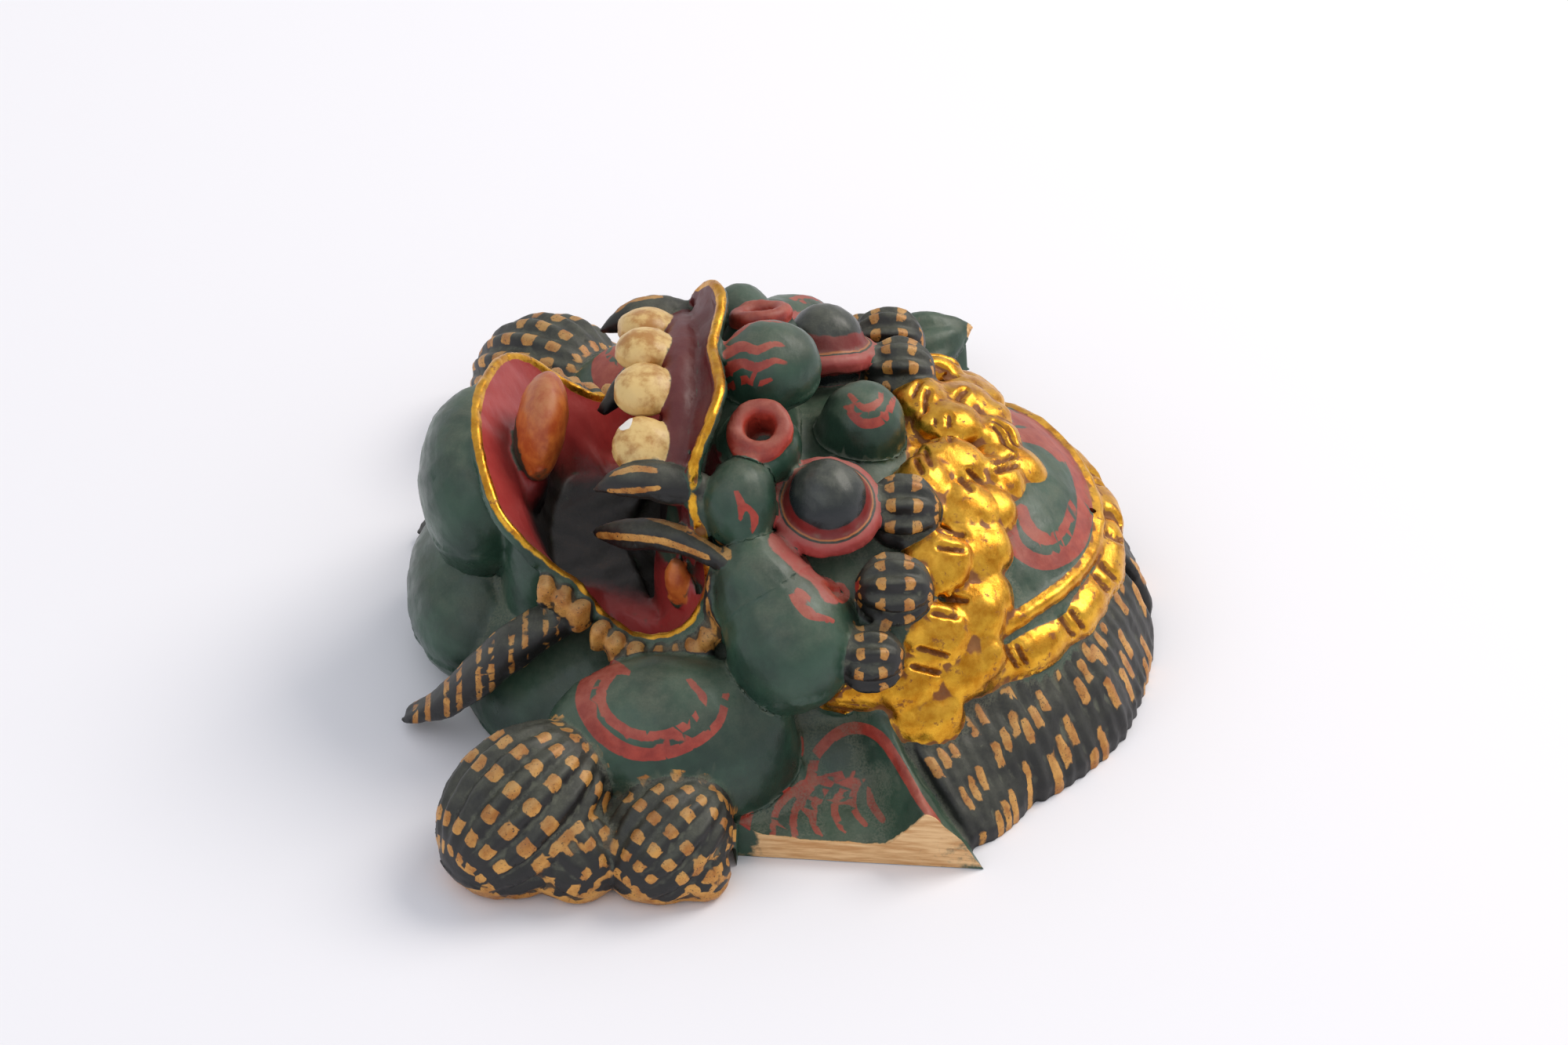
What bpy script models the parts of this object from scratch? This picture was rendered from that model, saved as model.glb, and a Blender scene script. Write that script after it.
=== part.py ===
"""Barong mask, carved from one block of wood and laid face up on its hollowed back.

Run with: blender --background --python part.py
Metres, +Z up. X runs from the chin (-X) to the crown (+X) and Y across the face, with the
near ear, which is broken off, at -Y. The origin is under the middle of the mask, on the
plane that the back rests on.
"""

import math

import bmesh
import bpy
from mathutils import Euler, Matrix, Vector

# Driving dimensions, in metres
MASK_LENGTH = 0.190  # chin to the tips of the hair
BACK_WALL = 0.011  # wood left between the face and the hollowed back
NAIL_HOLE_RADIUS = 0.0009  # the hole that the mask hung from, at the crown
NAIL_HOLE_DEPTH = 0.012
BREAK_SLANT_DEG = -4.7  # the break follows the grain, a little off the X axis
TOOTH_COUNT = 4
TOOTH_WIDTH = 0.0160
TOOTH_LENGTH = 0.0118
FRINGE_BLOCKS = 8  # wooden beads of the fringe beside each mouth corner
TUFT_FLUTES = 5  # flutes in each tuft of hair
CURL_RIBS = 6  # ribs round the upper half of a large curl

# The face is drawn on a grid of 190 steps from chin to crown, and every place and size of
# the carving below is given in those steps, so that the proportions hold at any length.
STEP = MASK_LENGTH / 190.0
LIP_EDGE = 2.1 * STEP  # half the thickness of the gilded edge of the lips
BREAK_AT = 87.2 * STEP  # how far from the middle the near ear is broken off
SURFACE_GRAIN = 1.2 * STEP  # size of the smallest tool mark kept in the large forms

FLOOR_Z = 0.0
TRIM_DEPTH = 60.0  # how far the trimming block reaches below the floor
SECTION_SIDES = 6
FACET_SHARE = 0.0095  # share of the even surface's facets that the large forms keep

# Colour, metallic value and roughness of each finish
FINISHES = {
    "green paint": ((0.035, 0.060, 0.045), 0.0, 0.45),
    "black paint": ((0.012, 0.013, 0.014), 0.0, 0.42),
    "red paint": ((0.28, 0.035, 0.030), 0.0, 0.45),
    "maroon paint": ((0.075, 0.012, 0.014), 0.0, 0.40),
    "tongue paint": ((0.42, 0.11, 0.035), 0.0, 0.45),
    "cream paint": ((0.68, 0.43, 0.17), 0.0, 0.40),
    "gold leaf": ((0.62, 0.36, 0.07), 0.8, 0.35),
    "bare wood": ((0.62, 0.38, 0.19), 0.0, 0.70),
}

# The gilded edge of the lips, from the middle of the lower lip round the near corner of the
# mouth to the middle of the upper lip. The far side is its mirror image.
LIP_EDGE_LINE = [
    (-75.8, 0.0, 69.6),
    (-75.0, -10.0, 69.3),
    (-72.6, -21.5, 67.2),
    (-69.6, -30.0, 64.1),
    (-64.5, -35.2, 58.8),
    (-57.0, -37.0, 51.5),
    (-50.0, -38.0, 46.0),
    (-43.5, -42.8, 40.5),
    (-36.0, -46.3, 37.3),
    (-28.0, -47.4, 37.8),
    (-21.8, -47.4, 43.0),
    (-18.6, -46.0, 50.5),
    (-18.8, -42.2, 59.0),
    (-21.2, -38.2, 67.5),
    (-22.2, -35.8, 75.0),
    (-20.8, -32.6, 83.0),
    (-17.6, -27.0, 89.3),
    (-15.6, -18.0, 91.2),
    (-16.6, -8.0, 90.6),
    (-17.8, 0.0, 90.2),
]
MOUTH_SPINE_X = -44.0
MOUTH_SPINE_SHARE = 0.45
MOUTH_FLOOR_Z = 27.0
GUM_TOP = 84.6
GUM_ARCH = 0.0100  # how fast the row of teeth drops to each side

COLLECTIONS = {}


def clear_scene():
    for obj in list(bpy.data.objects):
        bpy.data.objects.remove(obj)


def collection(name, helper):
    """A collection of that name. A helper collection isn't rendered."""
    made = bpy.data.collections.new(name)
    bpy.context.scene.collection.children.link(made)
    made.hide_render = helper
    COLLECTIONS[name] = made
    return made


def finish(name):
    """The material for a finish, made once."""
    found = bpy.data.materials.get(name)
    if found:
        return found
    colour, metallic, roughness = FINISHES[name]
    made = bpy.data.materials.new(name)
    made.use_nodes = True
    shader = made.node_tree.nodes["Principled BSDF"]
    shader.inputs["Base Color"].default_value = (*colour, 1.0)
    shader.inputs["Metallic"].default_value = metallic
    shader.inputs["Roughness"].default_value = roughness
    made.diffuse_color = (*colour, 1.0)
    return made


def add_object(name, mesh, group, paint):
    """Links a mesh as a helper form, or as the part itself when group is the part's own."""
    mesh.materials.clear()
    mesh.materials.append(finish(paint))
    obj = bpy.data.objects.new(name, mesh)
    COLLECTIONS[group].objects.link(obj)
    if COLLECTIONS[group].hide_render:
        obj.hide_render = True
        obj.display_type = "WIRE"
    return obj


def mesh_from(name, bm):
    """Writes a bmesh, with its faces turned outwards, to a new smooth-shaded mesh."""
    bmesh.ops.recalc_face_normals(bm, faces=bm.faces)
    mesh = bpy.data.meshes.new(name)
    bm.to_mesh(mesh)
    bm.free()
    mesh.shade_smooth()
    mesh.set_sharp_from_angle(angle=math.radians(40))
    return mesh


def steps(point):
    """A point of the carving grid, in metres."""
    return Vector(point) * STEP


def placed(bm, at, size, turn):
    """Scales, turns and moves all of a bmesh.

    Turn is three angles in degrees, about X, Y and Z, or the way that local +Z points.
    """
    if isinstance(turn, Vector):
        angles = turn.to_track_quat("Z", "Y")
    else:
        angles = Euler([math.radians(a) for a in turn])
    shape = Matrix.LocRotScale(steps(at), angles, steps(size))
    bmesh.ops.transform(bm, matrix=shape, verts=bm.verts)


def ball(name, group, paint, at, size, turn=(0, 0, 0), segments=10, rings=6):
    """An ellipsoid of the given half sizes."""
    bm = bmesh.new()
    bmesh.ops.create_uvsphere(bm, u_segments=segments, v_segments=rings, radius=1.0)
    placed(bm, at, size, turn)
    return add_object(name, mesh_from(name, bm), group, paint)


def ribbed_ball(name, group, paint, at, size, turn, ribs, depth=0.09, rings=5):
    """An ellipsoid with ribs from pole to pole, as the carver cuts a curl of hair."""
    bm = bmesh.new()
    bmesh.ops.create_uvsphere(bm, u_segments=2 * ribs, v_segments=rings, radius=1.0)
    for vert in bm.verts:
        around = math.hypot(vert.co.x, vert.co.y)
        if around > 0.1:
            wave = math.cos(ribs * math.atan2(vert.co.y, vert.co.x))
            pull = 1.0 + depth * (wave - 1.0) / 2 * around
            vert.co.x *= pull
            vert.co.y *= pull
    placed(bm, at, size, turn)
    return add_object(name, mesh_from(name, bm), group, paint)


def mirrored(point):
    x, y, z = point
    return (x, -y, z)


def pair_of_balls(name, group, paint, at, size, turn=(0, 0, 0), **more):
    """A ball on the near side and its mirror image on the far side."""
    rx, ry, rz = turn
    ball(name + "_near", group, paint, at, size, turn, **more)
    ball(name + "_far", group, paint, mirrored(at), size, (-rx, ry, -rz), **more)


def smooth_path(points, between):
    """Points of a Catmull-Rom curve through the given ones, with some more in between."""
    pts = [Vector(p) for p in points]
    line = []
    for i in range(len(pts) - 1):
        a = pts[max(i - 1, 0)]
        b, c = pts[i], pts[i + 1]
        d = pts[min(i + 2, len(pts) - 1)]
        for k in range(between):
            t = k / between
            line.append(
                0.5
                * (
                    2 * b
                    + (c - a) * t
                    + (2 * a - 5 * b + 4 * c - d) * t**2
                    + (3 * b - a - 3 * c + d) * t**3
                )
            )
    line.append(pts[-1])
    return line


def swept(name, group, paint, points, radii, closed=False, sides=SECTION_SIDES):
    """A round bar along grid points, with a radius in metres at each, made a closed mesh."""
    curve = bpy.data.curves.new(name, "CURVE")
    curve.dimensions = "3D"
    curve.bevel_depth = 1.0
    curve.bevel_resolution = sides // 2 - 2
    curve.use_fill_caps = True
    spline = curve.splines.new("POLY")
    spline.points.add(len(points) - 1)
    spline.use_cyclic_u = closed
    for knot, point, radius in zip(spline.points, points, radii):
        knot.co = (*steps(point), 1.0)
        knot.radius = radius
    bar = bpy.data.objects.new(name, curve)
    bpy.context.scene.collection.objects.link(bar)
    graph = bpy.context.evaluated_depsgraph_get()
    mesh = bpy.data.meshes.new_from_object(bar.evaluated_get(graph))
    bpy.data.objects.remove(bar)
    bm = bmesh.new()
    bm.from_mesh(mesh)
    bmesh.ops.remove_doubles(bm, verts=bm.verts, dist=1e-6)
    return add_object(name, mesh_from(name, bm), group, paint)


def horn(name, group, paint, points, thick, between=1, sides=SECTION_SIDES):
    """A tapering bar: thick gives the radius, in grid steps, at each of the points."""
    line = smooth_path(points, between)
    along = smooth_path([(t, 0, 0) for t in thick], between)
    return swept(name, group, paint, line, [a.x * STEP for a in along], sides=sides)


def pair_of_horns(name, group, paint, points, thick, **more):
    horn(name + "_near", group, paint, points, thick, **more)
    horn(name + "_far", group, paint, [mirrored(p) for p in points], thick, **more)


def lofted(name, group, paint, rings, around):
    """A closed body through rings of points, all of one length and given in grid steps.

    With around true each ring is itself closed and the first and last are capped with a
    fan; otherwise the rings are sections, joined one to the next, with flat end caps.
    """
    bm = bmesh.new()
    rows = [[bm.verts.new(steps(p)) for p in ring] for ring in rings]
    count = len(rows[0])
    for upper, lower in zip(rows, rows[1:]):
        for i in range(count):
            j = (i + 1) % count
            bm.faces.new((upper[i], upper[j], lower[j], lower[i]))
    for row in (rows[0], rows[-1]):
        if around:
            hub = bm.verts.new(sum((v.co for v in row), Vector()) / count)
            for i in range(count):
                bm.faces.new((row[i], row[(i + 1) % count], hub))
        else:
            bm.faces.new(row)
    return add_object(name, mesh_from(name, bm), group, paint)


def lip_loop():
    """The whole closed edge of the mouth, near side first, as grid points."""
    near = smooth_path(LIP_EDGE_LINE, 1)
    far = [Vector(mirrored(p)) for p in reversed(near[1:-1])]
    return near + far


def shifted(point, inward, drop):
    """A lip point moved towards the spine of the mouth, level, and then down."""
    spine = Vector((MOUTH_SPINE_X, point.y * MOUTH_SPINE_SHARE, point.z))
    way = (spine - point).normalized()
    return point + way * inward - Vector((0, 0, drop))


def upper_share(point):
    """0 on the lower lip, 1 on the upper lip and smooth between."""
    t = min(max((point.x + 50.0) / 25.0, 0.0), 1.0)
    height = min(max((point.z - 48.0) / 25.0, 0.0), 1.0)
    return t * t * (3 - 2 * t) * height


def chin():
    ball("chin_upper", "forms", "green paint", (-75.0, 0, 51), (16.0, 25, 25))
    ball("chin_lower", "forms", "green paint", (-75.5, 0, 15.5), (20.0, 31, 20))
    ball("jaw_base", "forms", "green paint", (-46, 0, 8), (40, 58, 30), segments=12)


def jaw():
    """The column that carries the lips, following the mouth's outline down to the floor."""
    loop = lip_loop()
    edge = LIP_EDGE / STEP
    rings = [
        [shifted(p, 0.3, 0.0) for p in loop],
        [shifted(p, 0.5, edge) for p in loop],
        [shifted(p, 4.0, 6.0) for p in loop],
        [shifted(p, 3.5, max(8.0, 0.45 * p.z)) for p in loop],
        [Vector((*shifted(p, 0.0, 0).xy, -4.0)) for p in loop],
    ]
    lofted("jaw", "forms", "green paint", rings, around=True)
    half = [LIP_EDGE] * len(loop)
    swept("lip_edge", "carving", "gold leaf", loop, half, closed=True, sides=4)


def mouth_cut():
    """The carved mouth: a flare behind the gilded edge, then the deep dark cavity."""
    loop = lip_loop()
    edge = LIP_EDGE / STEP
    above = [shifted(p, -4.0, -18.0) for p in loop]
    rim = [shifted(p, 0.55 * edge, -0.4) for p in loop]
    flare = []
    floor = []
    for p in loop:
        up = upper_share(p)
        flare.append(shifted(p, 9.0 + 2.5 * up, 10.0 - 4.0 * up))
        deep = shifted(p, 17.0 - 3.0 * up, 0)
        floor.append(Vector((deep.x, deep.y, MOUTH_FLOOR_Z + 6.0 * (1 - up))))
    lofted("mouth", "cutters", "red paint", [above, rim, flare, floor], around=True)


def snout():
    ball("snout", "forms", "green paint", (-12, 0, 50), (16.5, 42, 30), segments=12)
    ball("brow_mass", "forms", "green paint", (14, 0, 30), (36, 58, 34), segments=14, rings=7)
    ball("nose", "carving", "green paint", (-3.3, 0, 85.0), (12.6, 11.4, 11.2), segments=12, rings=8)
    ball("forehead_ball", "carving", "green paint", (19.3, 0, 67.0), (10.5, 10.5, 10.8))
    pair_of_balls("nostril_wing", "carving", "green paint", (-5.2, -21, 76.5), (9.6, 9.6, 8.6), segments=8)
    pair_of_balls("lip_knob", "carving", "green paint", (-10.8, -36, 71.0), (8.8, 9.2, 10.5))


def disc_matrix(at, normal):
    """A frame at a grid point with +Z along the normal."""
    turn = Vector(normal).to_track_quat("Z", "Y")
    return Matrix.LocRotScale(steps(at), turn, None)


def ring(name, group, paint, at, normal, radius, half, segments=10):
    """A round moulding: a torus of the given ring radius and half thickness, in steps."""
    spots = [
        (math.cos(2 * math.pi * k / segments), math.sin(2 * math.pi * k / segments), 0)
        for k in range(segments)
    ]
    frame = disc_matrix(at, normal)
    line = [(frame @ (Vector(s) * radius * STEP)) / STEP for s in spots]
    return swept(name, group, paint, line, [half * STEP] * segments, closed=True, sides=4)


def hole(name, group, at, normal, wide, narrow, depth, segments=8):
    """A tapered hole that runs from above a grid point down along the normal."""
    bm = bmesh.new()
    bmesh.ops.create_cone(
        bm,
        cap_ends=True,
        segments=segments,
        radius1=narrow,
        radius2=wide,
        depth=depth,
    )
    bmesh.ops.transform(bm, matrix=disc_matrix(at, normal), verts=bm.verts)
    return add_object(name, mesh_from(name, bm), group, "red paint")


def nostrils_and_eyes():
    for side, word in ((-1, "near"), (1, "far")):
        nostril = (-5.8, side * 23.0, 83.4)
        up_and_out = (-0.12, side * 0.42, 0.90)
        ring(f"nostril_{word}", "carving", "red paint", nostril, up_and_out, 5.7, 2.0)
        hole(f"nostril_{word}", "cutters", nostril, up_and_out, 5.2 * STEP, 3.0 * STEP, 15 * STEP)
        eye = (10.4, side * 31.6, 66.5)
        gaze = (0.02, side * 0.34, 0.94)
        ball(f"eye_{word}", "carving", "black paint", eye, (10.4, 10.4, 11.8), segments=12, rings=7)
        ring(f"lid_{word}", "carving", "red paint", (10.2, side * 31.2, 66.0), gaze, 11.6, 2.3, 10)
        slit = (13.6, side * 48.0, 54.0)
        hole(f"slit_{word}", "cutters", slit, (0, side * 0.6, 0.8), 2.8 * STEP, 1.0 * STEP, 9 * STEP, 3)


def brows():
    places = (
        ((29.0, -27.6, 61.6), (9.0, 9.6, 9.2), 4),
        ((26.6, -49.6, 55.2), (9.4, 9.0, 9.0), 4),
        ((21.0, -62.6, 44.0), (7.8, 8.0, 8.6), 4),
    )
    pair_of_balls("brow_base", "forms", "green paint", (28, -45.5, 27), (18.5, 14.5, 25), segments=8)
    for k, (at, size, ribs) in enumerate(places, 1):
        name = f"brow_curl_{k}"
        turn = (0, 90, 0)
        for word, spot in (("near", at), ("far", mirrored(at))):
            ribbed_ball(
                f"{name}_{word}", "carving", "black paint", spot, size[::-1], turn, 2 * ribs, 0.3, 4
            )


def cheeks():
    pair_of_balls("cheek_upper", "forms", "green paint", (2.0, -57, 45), (15.5, 17, 16), (35, 0, 0))
    pair_of_balls("cheek_inner", "forms", "green paint", (-6, -44, 50), (12, 13, 18), (30, 0, 0), segments=8)
    pair_of_balls(
        "cheek_lower", "forms", "green paint", (-27.5, -65, 19.5), (31, 20, 22.5), segments=12, rings=7
    )
    pair_of_balls("cheek_base", "forms", "green paint", (-22, -50, 4), (40, 32, 16), segments=6)


def beard():
    lock = [(-52, -39, 40), (-64, -44, 35), (-74, -43, 24), (-84, -40, 12), (-94, -34.5, 3)]
    pair_of_horns("beard_lock", "carving", "black paint", lock, [5.0, 6.4, 6.0, 4.2, 1.2])
    rim = [Vector(p) for p in LIP_EDGE_LINE[5:13]]
    line = smooth_path(rim, 6)
    for side, word in ((1, "near"), (-1, "far")):
        for k in range(FRINGE_BLOCKS):
            place = (k + 0.5) / FRINGE_BLOCKS * (len(line) - 1)
            spot = line[int(place)]
            ahead = line[min(int(place) + 1, len(line) - 1)] - spot
            out = shifted(spot, -4.4, 4.4)
            heading = math.degrees(math.atan2(side * ahead.y, ahead.x))
            name = f"fringe_{word}_{k + 1}"
            at = (out.x, side * out.y, out.z)
            ball(name, "carving", "tongue paint", at, (2.3, 4.0, 4.2), (0, 0, heading), 5, 3)


def curls():
    """The two big curls below each cheek. Their ribs run down and towards the chin."""
    for side, word in ((-1, "near"), (1, "far")):
        grain = Vector((-0.62, side * 0.52, -0.42))
        ribbed_ball(
            f"beard_curl_{word}",
            "carving",
            "black paint",
            (-62.5, side * 84, 15.0),
            (18.8, 18.8, 23.5),
            grain,
            2 * CURL_RIBS,
            0.14,
        )
        ribbed_ball(
            f"jaw_curl_{word}",
            "carving",
            "black paint",
            (-28, side * 89.5, 11.0),
            (14.8, 14.0, 17.5),
            grain,
            2 * CURL_RIBS - 2,
            0.14,
        )


def ear_section(y, left, right, crest_x, crest_z, dish_z, left_z, foot_z):
    """One slice across an ear: its back, chin edge, dish, crest and outer slope."""
    dish_from = left + 0.22 * (crest_x - left)
    dish_to = left + 0.80 * (crest_x - left)
    return [
        (left, y, foot_z),
        (left, y, left_z),
        (dish_from, y, dish_z + 0.35 * (left_z - dish_z)),
        (dish_to, y, dish_z),
        (crest_x, y, crest_z),
        (0.5 * (crest_x + right), y, 0.62 * crest_z + 0.38 * foot_z),
        (right, y, foot_z + 1.0),
        (right - 1.0, y, foot_z),
    ]


def ears():
    """A pointed, cupped ear on each side. The near one is cut back afterwards."""
    for side, word in ((-1, "near"), (1, "far")):
        rings = [
            ear_section(side * 50, -14, 25, 18, 34, 26, 24, -3),
            ear_section(side * 61, -15, 32, 23, 28, 19, 18, -3),
            ear_section(side * 74, -14, 41, 30, 20, 9, 9, -3),
            ear_section(side * 88, -11.5, 49, 35, 16.5, 6, 5.5, -3),
            ear_section(side * 96, 8, 50, 40, 16, 9, 10, 2),
            ear_section(side * 101, 32, 50, 45, 18, 14, 15, 8),
            ear_section(side * 104, 46, 49.5, 48, 18.5, 17, 16.5, 14),
        ]
        lofted(f"ear_{word}", "forms", "green paint", rings, around=False)
        rim = [(-12, side * 86, 9), (2, side * 92, 13), (20, side * 98, 17), (38, side * 102, 18)]
        horn(f"ear_rim_{word}", "forms", "green paint", rim, [4.0, 4.2, 3.6, 2.4])


def crown():
    ball(
        "crown_dome", "forms", "green paint", (44.5, 0, 17.5), (38.5, 54, 40), segments=14, rings=9
    )
    ball("crown_base", "forms", "green paint", (28, 0, 2), (54, 62, 30), segments=12, rings=5)
    arc = [math.radians(a) for a in range(-99, 100, 11)]
    inner = [(21.0 + 57.4 * math.cos(a), 51.0 * math.sin(a), 37.2) for a in arc]
    outer = [(20.0 + 60.0 * math.cos(a), 56.0 * math.sin(a), 29.8) for a in arc]
    swept("crown_bead", "carving", "gold leaf", inner, [2.3 * STEP] * len(arc), sides=6)
    wave = [(6.2 - 0.8 * (k % 3 == 0)) * STEP for k in range(len(arc))]
    swept("crown_band", "carving", "gold leaf", outer, wave)


def diadem():
    """Gilded leaves that overlap from the forehead down each side of the crown."""
    ball("diadem", "forms", "gold leaf", (31, 0, 16), (21, 60, 44.5), segments=10, rings=7)
    leaves = (
        ((56, 0, 53.5), (10, 9.0, 4.5), (0, 22, 0)),
        ((41, -8, 60.0), (9, 9, 5.0), (8, 8, 0)),
        ((46, -21, 56.5), (9, 9, 4.5), (22, 12, 0)),
        ((47, -33, 50.0), (8, 9, 4.5), (35, 12, 0)),
        ((46, -44, 42.5), (8, 9, 5.0), (46, 12, 0)),
        ((41, -53, 34.0), (9, 9, 5.0), (55, 8, 0)),
        ((31, -57, 33.0), (9, 9, 5.0), (58, 0, 0)),
        ((34, -17, 61.0), (7, 9, 4.5), (12, 0, 0)),
        ((36, -38, 53.0), (9, 9, 5.0), (34, 0, 0)),
    )
    for k, (at, size, turn) in enumerate(leaves):
        if at[1] == 0:
            ball(f"leaf_{k}", "carving", "gold leaf", at, size, turn, 8, 4)
        else:
            pair_of_balls(f"leaf_{k}", "carving", "gold leaf", at, size, turn, segments=7, rings=4)


def tuft(name, top_from, top_to, foot_from, foot_to):
    """A fluted fan of hair from the gold band down to the floor, between two edges."""
    slices = []
    count = 2 * TUFT_FLUTES
    for k in range(count + 1):
        t = k / count
        top = Vector(top_from).lerp(Vector(top_to), t)
        foot = Vector(foot_from).lerp(Vector(foot_to), t)
        away = (foot - top).normalized()
        away.z = 0
        groove = 1.1 if k % 2 else 0.0
        bow = math.sin(math.pi * t)
        tip = foot + away * (2.5 * bow - 1.2 * groove)
        middle = top.lerp(foot, 0.55) + Vector((0, 0, 5.0 - groove)) - away * 0.4
        slices.append(
            [
                (top.x - 9 * away.x, top.y - 9 * away.y, 0 - 3.0),
                (top.x - 7 * away.x, top.y - 7 * away.y, top.z + 1.0),
                (top.x, top.y, top.z - groove),
                tuple(middle),
                (tip.x, tip.y, 4.0 - 0.8 * groove),
                (tip.x - 0.6 * away.x, tip.y - 0.6 * away.y, -3.0),
            ]
        )
    lofted(name, "carving", "black paint", slices, around=False)


def hair():
    tufts = (
        ((24, 61, 27), (55, 52, 27), (45, 83, 2), (61.5, 66, 2)),
        ((53, 53, 27), (74, 33, 27), (63, 66, 2), (86.5, 40, 2)),
        ((73, 34, 27), (84, 3, 27), (86, 39, 2), (94.6, 4, 2)),
    )
    for k, edges in enumerate(tufts, 1):
        for side, word in ((-1, "near"), (1, "far")):
            ends = [(x, side * y, z) for x, y, z in edges]
            tuft(f"hair_tuft_{k}_{word}", *ends)


def gum_height(y):
    """How high the row of upper teeth stands at a place across the mouth."""
    return GUM_TOP - GUM_ARCH * y * y


def teeth_and_tongue():
    """What stands in the mouth. It is added after the mouth is cut."""
    gum_line = [(-25.0, y, gum_height(y) - 1.5) for y in range(-39, 40, 13)]
    horn("gum", "mouth parts", "maroon paint", gum_line, [4.85] * len(gum_line), between=1)
    reach = TOOTH_LENGTH / STEP
    half = TOOTH_WIDTH / STEP / 2
    for k in range(TOOTH_COUNT):
        y = (k - (TOOTH_COUNT - 1) / 2) * 2 * half
        at = (-28.2 - reach / 2, y, gum_height(y))
        slope = math.degrees(math.atan(-2 * GUM_ARCH * y))
        size = (reach / 2 + 1.2, 1.10 * half, 4.6)
        ball(f"tooth_{k + 1}", "mouth parts", "cream paint", at, size, (slope, 0, 0), 8, 4)
    fang = [(-19.6, -33.4, 72.6), (-31.6, -33.7, 75.9), (-39.7, -32.9, 75.1), (-46, -31.9, 71.5)]
    pair_of_horns("fang", "mouth parts", "black paint", fang, [4.3, 4.7, 3.3, 0.8])
    tusk = [(-46, -24, 52), (-38, -31, 57.5), (-27, -38, 62), (-17, -45, 62), (-9.5, -49, 61)]
    pair_of_horns("tusk", "mouth parts", "black paint", tusk, [1.6, 4.0, 3.8, 2.8, 2.7])
    stump = [(-24, -37, 44), (-26, -38, 49), (-26, -38.5, 55)]
    pair_of_horns("jaw_tooth", "mouth parts", "tongue paint", stump, [4.0, 3.4, 1.6])
    ball("tongue", "mouth parts", "tongue paint", (-60, 0, 66.5), (6.4, 13.6, 13.5), (0, 12, 0))
    ball("tongue_root", "mouth parts", "red paint", (-57, 0, 50), (8, 14, 16), (0, 30, 0), 8, 4)


def back_cuts():
    """The hollow behind the face, which keeps the wood BACK_WALL thick or more."""
    wall = BACK_WALL / STEP
    rear = (56 - wall, 58 - wall, 47 - wall)
    ball("hollow_brow", "cutters", "bare wood", (22, 0, -1), rear, segments=12, rings=5)
    front = (38, 44, MOUTH_FLOOR_Z - wall)
    ball("hollow_jaw", "cutters", "bare wood", (-40, 0, -1), front, segments=10, rings=5)


def block(name, group, paint, centre, size, turn_deg):
    """A turned box. Centre and size are in grid steps."""
    bm = bmesh.new()
    bmesh.ops.create_cube(bm, size=1.0)
    placed(bm, centre, size, (0, 0, turn_deg))
    return add_object(name, mesh_from(name, bm), group, paint)


def trims():
    """The flat back, the broken ear and the nail hole."""
    size = (300, 300, TRIM_DEPTH)
    centre = (0, 0, FLOOR_Z - TRIM_DEPTH / 2)
    block("floor", "trims", "bare wood", centre, size, 0)
    turn = math.radians(BREAK_SLANT_DEG)
    reach = 40.0
    middle = 26.0
    away = Vector((math.sin(turn), -math.cos(turn), 0))
    face = Vector((middle, -BREAK_AT / STEP, 40))
    centre = face + away * reach / 2
    long_side = 74.5
    block("break", "trims", "bare wood", centre, (long_side, reach, 90), BREAK_SLANT_DEG)
    nail_at = (78.2, 0, 41.5)
    lean = (0.45, 0, 0.9)
    radius = NAIL_HOLE_RADIUS
    hole("nail_hole", "trims", nail_at, lean, radius, radius, NAIL_HOLE_DEPTH, 8)


def boolean(obj, operation, group):
    modifier = obj.modifiers.new(f"{operation.lower()} {group}", "BOOLEAN")
    modifier.operation = operation
    modifier.solver = "MANIFOLD"
    modifier.operand_type = "COLLECTION"
    modifier.collection = COLLECTIONS[group]


def facet(obj):
    """Gives the large forms one even surface with fewer facets, before the details go on."""
    even = obj.modifiers.new("even surface", "REMESH")
    even.mode = "VOXEL"
    even.voxel_size = SURFACE_GRAIN
    fewer = obj.modifiers.new("fewer facets", "DECIMATE")
    fewer.ratio = FACET_SHARE


def main():
    clear_scene()
    collection("barong mask", helper=False)
    for name in ("forms", "cutters", "carving", "mouth parts", "trims"):
        collection(name, helper=True)
    chin()
    jaw()
    snout()
    nostrils_and_eyes()
    brows()
    cheeks()
    beard()
    curls()
    ears()
    crown()
    diadem()
    hair()
    mouth_cut()
    back_cuts()
    teeth_and_tongue()
    trims()
    mask = ball(
        "mask", "barong mask", "green paint", (0, 0, 12), (62, 60, 50), segments=12, rings=7
    )
    boolean(mask, "UNION", "forms")
    boolean(mask, "DIFFERENCE", "cutters")
    facet(mask)
    boolean(mask, "UNION", "carving")
    boolean(mask, "UNION", "mouth parts")
    boolean(mask, "DIFFERENCE", "trims")


if __name__ == "__main__":
    main()
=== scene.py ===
"""Looks of a carved, painted and gilded barong mask with a broken ear, lying on its back.

The mask is one block of wood, so it is one mesh: its forms are joined, made one surface by a
voxel remesh, cut, carved by formula and thinned. Its paint is stored on the vertices as
distances in millimetres to the edge of each colour, which the shader turns into brushed edges.
All places and sizes are in millimetres of the shared frame: X from chin to crown, Y across.
"""

from __future__ import annotations

import logging
import math
from collections.abc import Iterator
from dataclasses import dataclass, field, replace
from enum import Enum

import bpy
import numpy as np
from mathutils import Euler, Matrix, Vector
from mathutils.bvhtree import BVHTree

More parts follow.
